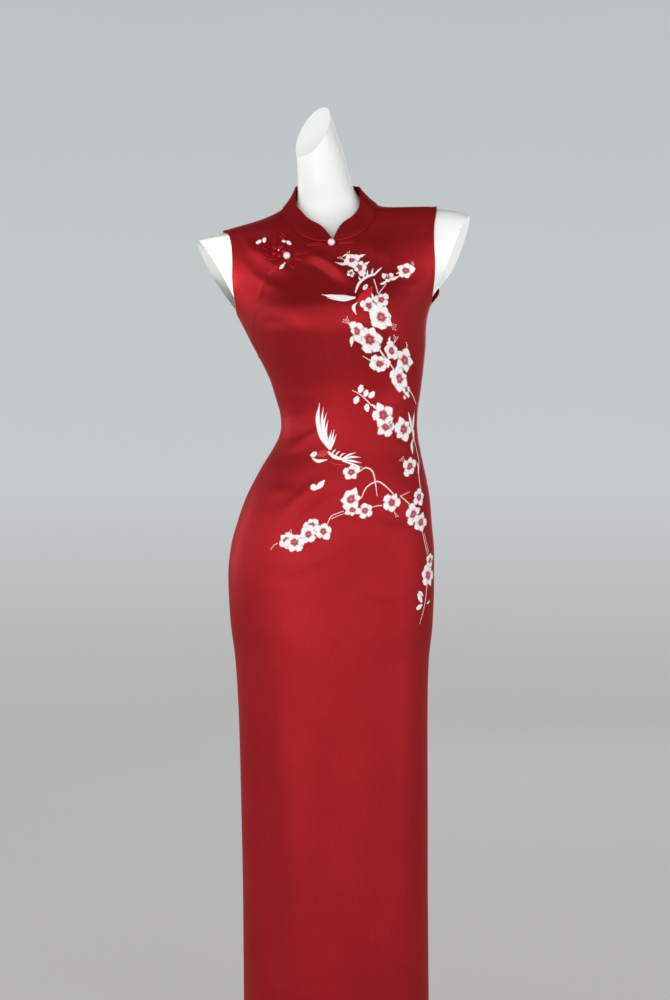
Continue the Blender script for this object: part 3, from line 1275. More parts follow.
def petals_on_points(tree, given, forms):
    seed = given.outputs["Seed"]
    many = node(tree, "GeometryNodeDuplicateElements", {"Geometry": given.outputs["Points"],
                                                       "Amount": named(tree, "petals")}, domain="POINT")
    index = many.outputs["Duplicate Index"]
    step = sum_up(tree, "DIVIDE", 2 * math.pi, named(tree, "petals"))
    angle = sum_up(tree, "MULTIPLY_ADD", index, step, named(tree, "turn"))
    angle = sum_up(tree, "ADD", angle, chance(tree, seed, -0.13, 0.13))
    off_aim = sum_up(tree, "COSINE", sum_up(tree, "SUBTRACT", angle, named(tree, "aim")))
    seen = sum_up(tree, "MULTIPLY", sum_up(tree, "MULTIPLY", off_aim, off_aim), named(tree, "squash"))
    length = sum_up(tree, "MULTIPLY", sum_up(tree, "SUBTRACT", 1.0, seen), named(tree, "radius"))
    length = sum_up(tree, "MULTIPLY", length, chance(tree, seed, 0.84, 1.12))
    stretch = node(tree, "ShaderNodeCombineXYZ", {"X": length, "Y": named(tree, "radius"), "Z": 1.0})
    lift = node(tree, "ShaderNodeCombineXYZ", {"Z": sum_up(tree, "MULTIPLY", index, 0.05)})
    raised = node(tree, "GeometryNodeSetPosition", {"Geometry": many.outputs["Geometry"],
                                                   "Offset": lift.outputs["Vector"]})
    spin = node(tree, "ShaderNodeCombineXYZ", {"Z": angle})
    return node(tree, "GeometryNodeInstanceOnPoints", {
        "Points": raised.outputs["Geometry"], "Instance": forms, "Pick Instance": True,
        "Instance Index": chance(tree, seed, 0, 2, "INT"), "Rotation": spin.outputs["Vector"],
        "Scale": stretch.outputs["Vector"]}).outputs["Instances"]


class Blossom(NamedTuple):
    along: float        # mm along the cloth from the centre front
    height: float       # mm above the floor
    radius: float       # mm
    turn: float         # degrees
    petals: int
    squash: float       # 0 seen from the front, towards 1 seen from its side
    aim: float          # degrees, the way it is squashed


BLOSSOMS = tuple(Blossom(*row) for row in (
    (29, 1336, 15.3, 20, 6, 0.35, 80), (41, 1323, 14.7, 70, 5, 0.25, 30), (27, 1313, 7.4, 0, 5, 0.10, 0),
    (116, 1314, 15.8, 5, 5, 0.15, 90), (86, 1303, 10.8, 150, 3, 0.20, 90),
    (73, 1267, 14.1, 30, 5, 0.20, 100), (53, 1258, 14.7, 80, 5, 0.20, 45), (70, 1240, 21.5, 10, 7, 0.08, 0),
    (28, 1222, 15.8, 40, 5, 0.30, 10), (45, 1208, 21.5, 0, 6, 0.05, 0), (77, 1190, 16.4, 95, 5, 0.20, 20),
    (100, 1176, 20.3, 60, 5, 0.10, 170), (86, 1148, 19.8, 25, 6, 0.10, 0), (99, 1132, 10.8, 10, 4, 0.20, 0),
    (54, 1092, 20.4, 35, 5, 0.10, 0), (59, 1075, 18.8, 5, 5, 0.12, 90), (93, 1071, 20.5, 50, 6, 0.05, 170),
    (112, 1014, 16.0, 20, 5, 0.05, 0), (13, 1002, 14.7, 25, 5, 0.10, 0), (19, 960, 18.4, 10, 6, 0.10, 0),
    (24, 943, 13.0, 60, 5, 0.20, 90), (44, 943, 14.1, 40, 5, 0.10, 0), (86, 957, 17.2, 0, 5, 0.10, 0),
    (128, 940, 17.0, 30, 5, 0.05, 30), (147, 928, 16.5, 70, 5, 0.05, 150),
    (137, 967, 14.5, 85, 5, 0.05, 10),
    (-18, 908, 15.3, 15, 5, 0.12, 0), (-37, 917, 15.3, 50, 5, 0.20, 100), (-41, 902, 16.4, 20, 6, 0.10, 0),
    (-61, 889, 16.4, 65, 6, 0.10, 90), (-75, 891, 15.3, 5, 5, 0.20, 20), (177, 867, 14.0, 20, 5, 0.0, 0),
    (171, 843, 19.0, 55, 6, 0.0, 170),
    (98, 1123, 8.1, 230, 3, 0.0, 0),
    (54, 1171, 19.2, 10, 6, 0.35, 95)))


def make_blossoms():
    columns = {"radius": [b.radius for b in BLOSSOMS], "turn": [math.radians(b.turn) for b in BLOSSOMS],
               "petals": [b.petals for b in BLOSSOMS], "squash": [b.squash for b in BLOSSOMS],
               "aim": [math.radians(b.aim) for b in BLOSSOMS]}
    places = [(b.along, b.height, 0.30 * (number % 3)) for number, b in enumerate(BLOSSOMS)]
    mesh = grown("blossoms", columns, places, petal_forms(), PETAL_FLOSS, petals_on_points)
    return mesh_piece("embroidered_blossoms", mesh, laid(flat_points(mesh)), PETAL_FLOSS)


BLOOM = make_blossoms()
print("blossoms:", len(BLOSSOMS), "faces:", len(BLOOM.data.polygons))

# %% [markdown]
# ## Stamens
# Some blossoms show stamens: a fan of fine threads, each ending in a knot. The same kind of tree grows
# them, one fan on each point.

# %% Stamens
def filament_form():
    """One stamen, one unit long with a width in millimetres, and a knot at its tip."""
    thread, stitch = pillow(((0.0, 0.0), (0.5, 0.0), (1.0, 0.0)), (0.70, 0.60, 0.60), 0.34, segments=4)
    knot, knot_stitch = pillow(((0.88, 0.0), (1.0, 0.0), (1.12, 0.0)), (0.5, 2.1, 0.5), 0.7, segments=6)
    points = np.concatenate([thread.reshape(-1, 3), knot.reshape(-1, 3)])
    uv = np.concatenate([stitch.reshape(-1, 2), knot_stitch.reshape(-1, 2)])
    faces = ring_faces(*thread.shape[:2])
    faces += ring_faces(*knot.shape[:2], start=thread.shape[0] * thread.shape[1])
    return finish_mesh("filament", points, faces, [STAMEN_FLOSS], uv, sharp=60)


def fans_on_points(tree, given, forms):
    many = node(tree, "GeometryNodeDuplicateElements", {"Geometry": given.outputs["Points"],
                                                       "Amount": named(tree, "threads")}, domain="POINT")
    half = sum_up(tree, "MULTIPLY", sum_up(tree, "SUBTRACT", named(tree, "threads"), 1.0), 0.5)
    from_middle = sum_up(tree, "SUBTRACT", many.outputs["Duplicate Index"], half)
    angle = sum_up(tree, "MULTIPLY_ADD", from_middle, 0.30, named(tree, "aim"))
    length = sum_up(tree, "MULTIPLY", named(tree, "reach"), chance(tree, given.outputs["Seed"], 0.85, 1.15))
    spin = node(tree, "ShaderNodeCombineXYZ", {"Z": angle})
    stretch = node(tree, "ShaderNodeCombineXYZ", {"X": length, "Y": 1.0, "Z": 1.0})
    return node(tree, "GeometryNodeInstanceOnPoints", {
        "Points": many.outputs["Geometry"], "Instance": forms, "Rotation": spin.outputs["Vector"],
        "Scale": stretch.outputs["Vector"]}).outputs["Instances"]


FANS = (        # mm along, mm high, mm long, degrees, threads
    (27, 1340, 10, 115, 3), (17, 1338, 9, 150, 2), (122, 1320, 9, 40, 3), (83, 1231, 12, 320, 4),
    (20, 1232, 11, 130, 4), (84, 1201, 11, 60, 3), (104, 1020, 12, 150, 3), (108, 1193, 8, 70, 2),
    (-66, 899, 9, 120, 2), (92, 944, 10, 310, 2))


def make_stamens():
    columns = {"reach": [row[2] for row in FANS], "aim": [math.radians(row[3]) for row in FANS],
               "threads": [row[4] for row in FANS]}
    mesh = grown("stamens", columns, [(row[0], row[1], 0.0) for row in FANS],
                 [filament_form()], STAMEN_FLOSS,
                 fans_on_points)
    return mesh_piece("embroidered_stamens", mesh, laid(flat_points(mesh)), STAMEN_FLOSS)


STAMENS = make_stamens()

# %% [markdown]
# ## Branches, leaves and birds
# All else is drawn stroke by stroke, in short tables: the places a stroke passes, and its widths on the
# way. A branch swells and thins like a brush line. A feather and a leaf start narrow, swell, and run
# out to a point. Two long-tailed birds hover among the branches, as they often do on such dresses.

# %% Branches and leaves
BRANCHES = (
    (((63, 1302), (66, 1290), (69, 1276)), (1.6, 1.9, 2.1)),
    (((83, 1293), (76, 1285), (70, 1277)), (1.2, 1.5, 1.8)),
    (((54, 1198), (63, 1182), (73, 1168), (80, 1157)), (2.6, 3.2, 2.6, 1.6)),
    (((99, 1138), (111, 1127), (128, 1110)), (1.8, 1.8, 1.2)),
    (((29, 1184), (41, 1176), (53, 1171)), (1.2, 1.6, 1.8)),
    (((6, 1132), (17, 1126), (26, 1118), (36, 1107)), (1.2, 1.7, 1.9, 2.0)),
    (((118, 1069), (123, 1054), (131, 1037), (138, 1022), (135, 1006), (143, 974)),
     (1.4, 1.8, 1.7, 2.0, 2.2, 1.4)),
    (((25, 1003), (35, 1010), (47, 1004), (54, 986), (60, 966)), (2.2, 2.6, 2.4, 1.8, 1.0)),
    (((35, 962), (40, 978), (49, 986), (59, 989), (73, 981), (87, 970)), (1.6, 2.2, 2.4, 2.4, 2.2, 2.0)),
    (((99, 968), (109, 962), (122, 954)), (1.6, 1.8, 1.8)),
    (((100, 968), (108, 971), (117, 975)), (1.0, 1.2, 0.8)),
    (((53, 948), (62, 951), (71, 952)), (1.4, 1.6, 1.6)),
    (((11, 941), (1, 937), (-8, 932), (-13, 918)), (1.4, 1.5, 1.6, 1.4)),
    (((12, 937), (2, 933), (-7, 928)), (1.0, 1.2, 1.2)),
    (((-89, 886), (-95, 882), (-100, 875)), (1.6, 1.3, 0.8)),
    (((152, 914), (159, 896), (169, 876)), (1.3, 1.5, 1.7)),
    (((157, 911), (164, 896), (172, 880)), (0.9, 1.1, 1.2)),
    (((170, 828), (166, 805), (160, 784), (151, 763)), (1.8, 1.6, 1.3, 0.8)),
)
LEAVES = (
    (((25, 1334), (14, 1330), (2, 1332)), (4, 6, 0.8)),
    (((37, 1340), (44, 1342), (51, 1344)), (3, 5, 0.6)),
    (((45, 1326), (51, 1328), (57, 1332)), (3, 5, 0.6)),
    (((26, 1344), (20, 1346), (13, 1342)), (1, 2.4, 0.5)),
    (((88, 1303), (83, 1308), (77, 1310)), (2, 4.6, 2.5)),
    (((86, 1301), (94, 1301), (105, 1305)), (2, 6, 2)),
    (((85, 1298), (78, 1294), (73, 1293)), (2, 5, 2.5)),
    (((100, 1309), (105, 1312), (110, 1312)), (1.5, 2.5, 1)),
    (((24, 1216), (17, 1209), (14, 1199)), (2, 7, 1.5)),
    (((58, 1267), (60, 1273), (58, 1279)), (2, 4, 1)),
    (((76, 1201), (76, 1206), (79, 1211)), (2, 4, 0.8)),
    (((103, 1098), (109, 1086), (113, 1070)), (0.8, 7, 2)),
    (((122, 1098), (119, 1084), (116, 1068)), (0.8, 6.5, 2)),
    (((117, 1056), (114, 1046), (118, 1033)), (2, 7, 1)),
    (((113, 1078), (119, 1066), (120, 1052)), (2, 7, 1.5)),
    (((-46, 980), (-42, 976), (-38, 972)), (6, 11, 5)),
    (((-38, 974), (-33, 979), (-27, 988)), (5, 10, 3)),
    (((131, 1020), (135, 1013), (134, 1004)), (1.5, 4, 1.5)),
    (((147, 813), (151, 807), (156, 799)), (5, 9.5, 5)),
    (((144, 788), (150, 791), (157, 795)), (5, 8.5, 3)),
    (((148, 816), (154, 814), (159, 809)), (3, 5.5, 2.5)),
    (((17, 1128), (20, 1134), (22, 1140)), (5, 10, 5)), (((15, 1122), (12, 1117), (9, 1111)), (5, 10, 5)),
    (((25, 1122), (28, 1127), (30, 1132)), (5, 9, 4)),
    (((32, 1120), (37, 1124), (41, 1129)), (5, 9.5, 4)),
    (((29, 1110), (28, 1104), (29, 1098)), (5, 9.5, 4)),
    (((36, 1109), (40, 1106), (43, 1101)), (2, 4.5, 1.5)),
    (((169, 796), (175, 798), (180, 802)), (1.5, 4, 1)),
    (((63, 1252), (67, 1249), (71, 1249)), (1, 1.6, 0.6)),
)
TWIGS = embroidered("embroidered_branches", BRANCHES, 0.26, PINK_FLOSS)
FOLIAGE = embroidered("embroidered_leaves", LEAVES, 0.30, WHITE_FLOSS)

# %% Birds
PLUMAGE = (
    (((33, 1273), (17, 1274), (-4, 1278), (-20, 1282)), (3.5, 9.5, 7, 0.6)),
    (((32, 1272), (15, 1270), (0, 1273), (-12, 1276)), (1.5, 3.0, 2.6, 0.5)),
    (((33, 1281), (39, 1295), (51, 1306), (65, 1310)), (2.2, 4.4, 4.8, 4)),
    (((43, 1298), (41, 1303), (39, 1308)), (2.5, 3, 0.8)),
    (((48, 1303), (47, 1309), (46, 1314)), (2.5, 3, 0.8)),
    (((53, 1306), (53, 1312), (54, 1318)), (2.5, 3, 0.8)),
    (((60, 1308), (61, 1315), (63, 1320)), (2.5, 3, 0.8)),
    (((65, 1310), (70, 1315), (77, 1321)), (3, 3.2, 0.8)),
    (((36, 1266), (29, 1258), (32, 1246)), (1, 6, 1.2)),
    (((46, 1285), (49, 1289), (52, 1293)), (4, 7.4, 4)),
    (((-30, 1040), (-44, 1060), (-51, 1086), (-47, 1114)), (3, 8, 7.5, 0.8)),
    (((-30, 1041), (-39, 1060), (-44, 1084), (-41, 1107)), (2, 5, 4.5, 0.7)),
    (((-29, 1042), (-37, 1056), (-41, 1078), (-36, 1098)), (2, 4.5, 4, 0.6)),
    (((-28, 1043), (-34, 1053), (-37, 1070), (-34, 1086)), (2, 4, 3.5, 0.5)),
    (((-28, 1038), (-30, 1051), (-28, 1069)), (3, 4.5, 0.7)),
    (((-27, 1037), (-26, 1051), (-24, 1070)), (2.5, 4, 0.6)),
    (((-26, 1037), (-23, 1050), (-20, 1062)), (2.5, 3.6, 0.8)),
    (((-56, 1026), (-51.5, 1029), (-47, 1032)), (5.5, 9.5, 5.5)),
    (((-52, 1023), (-42, 1018.5), (-28, 1021)), (3, 6, 1.5)),
    (((-29, 1034), (-18, 1026), (-3, 1022)), (4, 6, 4)),
    (((-5, 1023), (6, 1030), (15, 1033)), (2.5, 3.6, 0.6)),
    (((-3, 1022), (9, 1026), (24, 1026)), (2.5, 3.8, 0.6)),
    (((-3, 1021), (10, 1020), (27, 1017)), (2.5, 3.8, 0.6)),
    (((-4, 1020), (9, 1016), (30, 1010)), (2.2, 3.2, 0.5)),
    (((-22, 1030), (-20, 1035), (-17, 1038)), (2, 2.8, 0.7)),
    (((-16, 1027), (-14, 1032), (-10, 1035)), (2, 2.8, 0.7)),
    (((-9, 1025), (-6, 1030), (-1, 1032)), (2, 2.8, 0.7)),
)
BODIES = (
    (((35, 1266), (44, 1272), (53, 1279), (60, 1290)), (5, 15, 13, 3)),
    (((-46, 1028), (-37, 1031), (-27, 1034)), (4, 12, 5)),
    (((-24, 1018), (-12, 1014), (4, 1014)), (1.0, 1.8, 0.8)),
)
STREAKS = (
    (((40, 1172), (52, 1168), (66, 1170)), (1.4, 3.2, 1)),
    (((42, 1177), (54, 1175), (64, 1177)), (1, 2.2, 0.8)),
)
EYES_AND_BEAKS = (
    (((48.6, 1289.6), (49.5, 1290.2), (50.4, 1290.8)), (1.2, 1.9, 1.2)),
    (((-51.9, 1029.4), (-51.0, 1030.0), (-50.1, 1030.6)), (1.2, 1.9, 1.2)),
    (((45, 1284), (42, 1281.5)), (1.8, 0.4)), (((-54.5, 1026), (-59, 1023)), (1.8, 0.4)),
)
BIRD_BODIES = embroidered("embroidered_bird_bodies", BODIES, 0.32, SCARLET_FLOSS)
BIRD_FEATHERS = embroidered("embroidered_feathers", PLUMAGE, 0.38, WHITE_FLOSS)
BIRD_EYES = embroidered("embroidered_eyes", EYES_AND_BEAKS, 0.62, DARK_FLOSS)
HEART_STREAKS = embroidered("embroidered_streaks", STREAKS, 0.75, ROSE_FLOSS)
EMBROIDERY = (BLOOM, STAMENS, TWIGS, FOLIAGE, BIRD_BODIES, BIRD_FEATHERS, BIRD_EYES, HEART_STREAKS)

# %% [markdown]
# ## Hand stitches
# The turned-in edges of the armholes, the slits and the hem are caught down by hand. On the face each
# stitch is a short dimple of thread, a few millimetres from the next. Points along those lines carry
# the way the cloth faces there, and the tree sets a stitch on each one, a little long or short.

# %% Hand stitches
def stitch_form():
    """One stitch, in metres, along X with its face to +Z."""
    flat, uv = pillow(((-0.7, 0.0), (0.0, 0.0), (0.7, 0.0)), (0.12, 0.38, 0.12), 0.20, segments=6)
    points = flat.reshape(-1, 3) * MM
    return finish_mesh("stitch", points, ring_faces(*flat.shape[:2]), [GLOSSY],
                       uv.reshape(-1, 2) * MM, sharp=60)


def stitches_on_points(tree, given, forms):
    length = chance(tree, given.outputs["Seed"], 0.8, 1.25)
    stretch = node(tree, "ShaderNodeCombineXYZ", {"X": length, "Y": 1.0, "Z": 1.0})
    return node(tree, "GeometryNodeInstanceOnPoints", {
        "Points": given.outputs["Points"], "Instance": forms,
        "Rotation": named(tree, "facing", "FLOAT_VECTOR"),
        "Scale": stretch.outputs["Vector"]}).outputs["Instances"]


def stitch_line(turn, height, inside, centre, spacing):
    """Places and Euler angles of stitches beside an edge, inside it by a distance towards a turn."""
    step = np.linalg.norm(skin(turn + PROBE, height) - skin(turn - PROBE, height), axis=-1) / (2 * PROBE)
    turn = turn + np.sign(centre - turn) * inside / step
    line = cloth_point(turn, height, CLOTH)
    run = np.concatenate([[0], np.cumsum(np.linalg.norm(np.diff(line, axis=0), axis=1))])
    share = np.interp(np.arange(spacing, run[-1] - spacing, spacing), run, np.arange(len(run)))
    turn, height = (np.interp(share, np.arange(len(run)), column) for column in (turn, height))
    place = cloth_point(turn, height, CLOTH + 0.02 * MM)
    ahead = unit(np.gradient(place, axis=0))
    out = outward(turn, height)
    aside = unit(np.cross(out, ahead))
    turned = [Matrix((a, s, np.cross(a, s))).transposed().to_euler() for a, s in zip(ahead, aside)]
    return place, np.array([tuple(angles) for angles in turned])


def edge_lines():
    """Every line of hand stitches: (turns, heights, distance inside the edge, centre, spacing)."""
    shares = np.linspace(0.02, 0.98, 60)
    for line, side, centre in ((armhole_line, 1, 0), (armhole_line, -1, 0), (back_right_line, 1, 2),
                               (back_left_line, -1, 2)):
        edge = line(shares)
        turn = side * turn_at(edge[:, 0], edge[:, 1])
        yield (turn if centre == 0 else (2 - turn)), edge[:, 1], ARM_TURN_IN, centre, 4.0 * MM
    slit = np.linspace(HEM + 0.03, SLIT_TOP - 0.004, 60)
    for centre in (0, 2):
        for side in (-1, 1):
            yield centre + side * (1 - slit_turn(slit)), slit, SLIT_TURN_IN, centre, 6.0 * MM
        across = np.linspace(centre - 0.96, centre + 0.96, 90)
        yield across, np.full_like(across, HEM + HEM_TURN_IN), 0.0, centre, 6.0 * MM


def make_stitches():
    found = [stitch_line(*line) for line in edge_lines()]
    places, facing = (np.concatenate(part) for part in zip(*found))
    mesh = grown("hand_stitches", {"facing": facing}, places, [stitch_form()], GLOSSY, stitches_on_points)
    print("hand stitches:", len(places))
    return mesh_piece("hand_stitches", mesh, flat_points(mesh), GLOSSY)


STITCHES = make_stitches()
print("embroidery:", sum(len(piece.data.polygons) for piece in EMBROIDERY), "faces")


# %% [markdown]
# ## Stand collar
# A mandarin collar is a bias-cut band, stiffened, 34 mm high in front and 40 mm behind. Its foot is
# sewn along the neckline, its front corners are rounded in a long curve, and the two fronts meet in a
# small V.

# %% Collar
COLLAR_COVER = 0.0008   # how far its foot reaches over the neckline's raw edge


def collar_feet(per_front=46, per_back=40):
    """Angles from the centre front, and places on the neckline, round the collar's foot."""
    share = (1 - np.cos(np.linspace(0, math.pi, per_front + 1))) / 2
    front = neckline(share)
    front_turn = turn_at(front[:, 0], front[:, 1])
    front_turn[-1] = 1.0
    across = np.linspace(0, 0.5, per_back + 1)[1:]
    back_height = NECK_SIDE + (NECK_BACK - NECK_SIDE) * np.sin(across * math.pi)
    turn = np.concatenate([front_turn, 1 + 2 * across])
    height = np.concatenate([front[:, 1], back_height])
    angle = np.concatenate([share * math.pi / 2, (1 + 2 * across) * math.pi / 2])
    return (np.concatenate([-angle, angle[-2::-1]]), np.concatenate([-turn, turn[-2::-1]]),
            np.concatenate([height, height[-2::-1]]))


COLLAR_HOLLOW = 2.0 * MM        # how far the band is hollow at the sides of the neck


class Wave(NamedTuple):
    """A soft swell of the collar's band."""
    angle: float        # radians round the neck from the centre front, positive to the wearer's left
    spread: float
    level: float        # share of the band's height
    width: float
    depth: float


COLLAR_WAVES = (
    Wave(-0.60, 0.40, 0.34, 0.24, 0.0020), Wave(-1.02, 0.16, 0.50, 0.40, -0.0010),
    Wave(0.52, 0.38, 0.24, 0.20, 0.0015), Wave(1.00, 0.20, 0.60, 0.35, -0.0012),
    Wave(2.50, 0.30, 0.45, 0.30, 0.0006), Wave(-2.35, 0.26, 0.50, 0.30, 0.0005),
)


def collar_grids(bands=30):
    half, front, back = COLLAR_TOP
    angle, turn, height = collar_feet()
    feet = cloth_point(turn, height, CLOTH + SEAM)
    feet[0, 0] -= COLLAR_START
    feet[-1, 0] += COLLAR_START
    run = np.concatenate([[0], np.cumsum(np.linalg.norm(np.diff(feet, axis=0), axis=1))])
    facing = np.cos(angle)
    end = np.where(facing > 0, COLLAR_TOP_FRONT, COLLAR_TOP_BACK)
    level = COLLAR_TOP_SIDE + (end - COLLAR_TOP_SIDE) * np.abs(facing)
    top = posed(half * np.sin(angle), -np.where(facing > 0, front, back) * facing, level)
    lift = unit(top - feet)
    share = np.minimum(np.minimum(run, run[-1] - run) / COLLAR_RISE, 1.0)
    tall = COLLAR_HEIGHT + COLLAR_EXTRA * (1 - np.maximum(facing, 0))
    rise = tall * (0.06 + 0.94 * (1 - (1 - share) ** 2.6))
    out = unit(np.stack([np.sin(angle), -np.cos(angle), np.full_like(angle, 0.35)], axis=-1))
    band = 0.5 - 0.5 * np.cos(np.linspace(0, math.pi, bands))
    base = feet + lift * (rise[None, :] * band[:, None] - COLLAR_COVER * (1 - band[:, None]))[..., None]
    from_top = rise[None, :] * (1 - band[:, None])
    from_foot = rise[None, :] * band[:, None]
    puff = -0.5 * MM * bell(from_top / (0.6 * MM)) - 0.5 * MM * bell(from_foot / (0.8 * MM))
    puff += -0.22 * MM * bell((from_top - 5.5 * MM) / (0.8 * MM))
    swell = -COLLAR_HOLLOW * np.sin(math.pi * band)[:, None] * share * np.abs(np.sin(angle)) ** 4
    for wave in COLLAR_WAVES:
        swell += wave.depth * bell((angle - wave.angle) / wave.spread) * bell(
            (band[:, None] - wave.level) / wave.width) * share
    base = base + out * swell[..., None]
    outer = base + out * (COLLAR_CLOTH + puff)[..., None]
    uv = np.stack([np.broadcast_to(run, band.shape + run.shape), from_foot], axis=-1)
    return base, outer, uv


COLLAR = wall("collar_cloth", *collar_grids(), CRIMSON)
print("collar:", len(COLLAR.data.polygons), "faces")

# %% [markdown]
# ## The form under the dress
# The form is one smooth moulding: the same figure as the cloth's, moved in by the air between them.
# The neck and both shoulders end in slanted cuts. The moulding is cut there by a plane, which leaves a
# clean flat face, and each rim is then rounded by a small bevel, as a mould leaves it.

# %% Form
def form_points(turn, height):
    aside, back = upright_place(turn, height)
    reach = np.abs(aside / NECK_HALF_WIDTH) ** 2.4
    reach += (np.maximum(NECK_SIDE - height, 0) / (NECK_SIDE - NECK_FRONT)) ** 2
    pit = NECK_PIT * soft_step((1 - reach) * 2.5) * soft_step((NECK_PIT_TOP - height) / 0.05)
    inset = form_gap(height) + np.where(back < 0, pit, 0)
    return skin(turn, height) - outward(turn, height) * inset[..., None]


NECK_PIT = 0.012
NECK_PIT_TOP = 1.470
FORM_FOOT = 0.660
NECK_CUT = Vector((-0.033, -0.006, 1.559))
NECK_CUT_ACROSS = Vector((-1.24, -1.24, 1.0))
STUMP_ASIDE, STUMP_SLOPE, STUMP_TURN = 0.224, 0.46, 0.190
STUMP_CENTRE = 0.001


def slice_off(bm, place, normal, low, side):
    """Cut away what lies beyond a plane, above a height on one side, then round the cut's rim."""
    def near(part):
        return all(v.co.z > low and v.co.x * side >= 0 for v in part.verts)

    parts = [e for e in bm.edges if near(e)] + [f for f in bm.faces if near(f)]
    parts += [v for v in bm.verts if v.co.z > low and v.co.x * side >= 0]
    cut = bmesh.ops.bisect_plane(bm, geom=parts, plane_co=place, plane_no=normal, clear_outer=True)
    rim = [e for e in cut["geom_cut"] if isinstance(e, bmesh.types.BMEdge)]
    bmesh.ops.holes_fill(bm, edges=rim)
    rim = [e for e in rim if e.is_valid]
    bmesh.ops.bevel(bm, geom=rim, offset=1.2 * MM, segments=3, profile=0.5, affect="EDGES")


NECK_SANDING = 30       # passes that smooth the foot of the neck, inside this width and these heights
THROAT_HALF_WIDTH, THROAT_LOW, THROAT_HIGH = 0.09, 1.38, 1.50
FORM_LEVELS = ((FORM_FOOT, 80), (OPENING_FOOT, 50), (1.395, 44), (1.445, 60), (1.640, 0))     # start, rows


def make_form(sides=128):
    turns = np.linspace(-2, 2, sides, endpoint=False)
    heights = [np.linspace(low, high, rows)[:-1]
               for (low, rows), (high, _) in zip(FORM_LEVELS, FORM_LEVELS[1:])]
    heights = np.concatenate(heights + [[FORM_LEVELS[-1][0]]])
    grid = form_points(*np.meshgrid(turns, heights))
    bm = bmesh.new()
    verts = [bm.verts.new(point) for point in grid.reshape(-1, 3)]
    for face in ring_faces(len(heights), sides):
        bm.faces.new([verts[k] for k in face])
    throat = [vert for vert in bm.verts
              if abs(vert.co.x) < THROAT_HALF_WIDTH and THROAT_LOW < vert.co.z < THROAT_HIGH]
    for _ in range(NECK_SANDING):
        bmesh.ops.smooth_vert(bm, verts=throat, factor=0.5, use_axis_x=True, use_axis_y=True,
                              use_axis_z=True)
    slice_off(bm, NECK_CUT, NECK_CUT_ACROSS, 1.48, 0)
    tip = math.radians(float(tip_degrees(STUMP_TOP_HEIGHT)))
    for side in (-1, 1):
        place = Vector((STUMP_CENTRE + side * STUMP_ASIDE * math.cos(tip), 0,
                        STUMP_TOP_HEIGHT + side * STUMP_ASIDE * math.sin(tip)))
        upright = Vector((1, -STUMP_TURN, -STUMP_SLOPE))
        outwards = Vector((side * upright.x * math.cos(tip), upright.y,
                           upright.z + side * upright.x * math.sin(tip)))
        slice_off(bm, place, outwards, UNDERARM + 0.003 + side * 0.011, side)
    for face in bm.faces:
        face.smooth = len(face.verts) < 12
    bmesh.ops.triangulate(bm, faces=[f for f in bm.faces if len(f.verts) > 4])
    mesh = bpy.data.meshes.new("moulded_form")
    bmesh.ops.recalc_face_normals(bm, faces=bm.faces)
    bm.to_mesh(mesh)
    bm.free()
    mesh.materials.append(LACQUER)
    return add_object("moulded_form", mesh)


FORM = make_form()
print("form:", len(FORM.data.polygons), "faces")

# %% [markdown]
# ## Stand
# The stand is turned and welded: a flat round base with an eased edge, and a pole that runs up into the
# form. Both are made from a profile spun round, as on a lathe.

# %% Stand
def turned(name, profile, material, sides=96):
    """A solid of revolution about the Z axis, from a profile of (radius, height)."""
    points = [point for radius, height in profile for point in circle(radius, height, sides)]
    return finish_mesh(name, points, ring_faces(len(profile), sides), [material])


def rounded(radius, low, high, ease):
    """Profile of a disc or a bar with eased edges."""
    turns = np.linspace(0, math.pi / 2, 5)
    foot = [(radius - ease + ease * math.sin(a), low + ease - ease * math.cos(a)) for a in turns]
    head = [(radius - ease + ease * math.cos(a), high - ease + ease * math.sin(a)) for a in turns]
    return foot + head


BASE = turned("steel_base", rounded(0.170, 0.0, 0.006, 0.0015), STEEL)
POLE = turned("steel_pole", rounded(0.016, 0.0063, 0.6594, 0.0006), STEEL, 48)

# %% [markdown]
# ## Closings
# The collar closes with a pearl and two short bars of satin tube, and the lap with a flower frog: a
# flower and loops of the same tube, a second pearl and five drop beads of mother of pearl. Each piece
# lies on the finished cloth, so its path is given as seen from the front and then dropped onto it.

# %% Finding the cloth
def surface_finder(pieces):
    trees = []
    for piece in pieces:
        bm = bmesh.new()
        bm.from_mesh(piece.data)
        trees.append(BVHTree.FromBMesh(bm))
        bm.free()

    def find(x, z):
        hits = []
        for step_x, step_z in ((0, 0), (0, -1), (0, 1), (-1, 0), (1, 0)):
            start = Vector((x + step_x * 0.8 * MM, -1.0, z + step_z * 0.8 * MM))
            for tree in trees:
                at, normal, _, _ = tree.ray_cast(start, Vector((0, 1, 0)))
                if at is not None and normal.y < -0.3:
                    hits.append((at, normal))
            if hits:
                break
        return min(hits, key=lambda hit: hit[0].y) if hits else None

    return find


find = surface_finder([FRONT, SIDE_FRONT])


def satin_tube(name, points, width, high, material, segments=40, sides=12):
    """A rouleau, a narrow tube of satin sewn flat side down, along a path of (x, z) points."""
    path = path_through(points)
    rings, uv = [], []
    for share in np.linspace(0, 1, segments + 1):
        here = path(share)
        ahead = path(min(share + 0.01, 1.0)) - path(max(share - 0.01, 0.0))
        side = np.array([-ahead[1], ahead[0]]) / np.linalg.norm(ahead)
        taper = 0.55 + 0.45 * min(1.0, 4 * min(share, 1 - share))
        for k in range(sides):
            angle = 2 * math.pi * k / sides
            across = math.cos(angle)
            lift = 0.5 + 0.5 * math.sin(angle)
            spot = here + side * across * width / 2 * taper
            at, normal = find(*spot)
            rings.append(at + normal * (0.35 * MM + lift * high * taper))
            uv.append((k / sides * width * 3, share * 0.03))
    faces = ring_faces(segments + 1, sides)
    return finish_mesh(name, rings, faces, [material], uv, sharp=70)


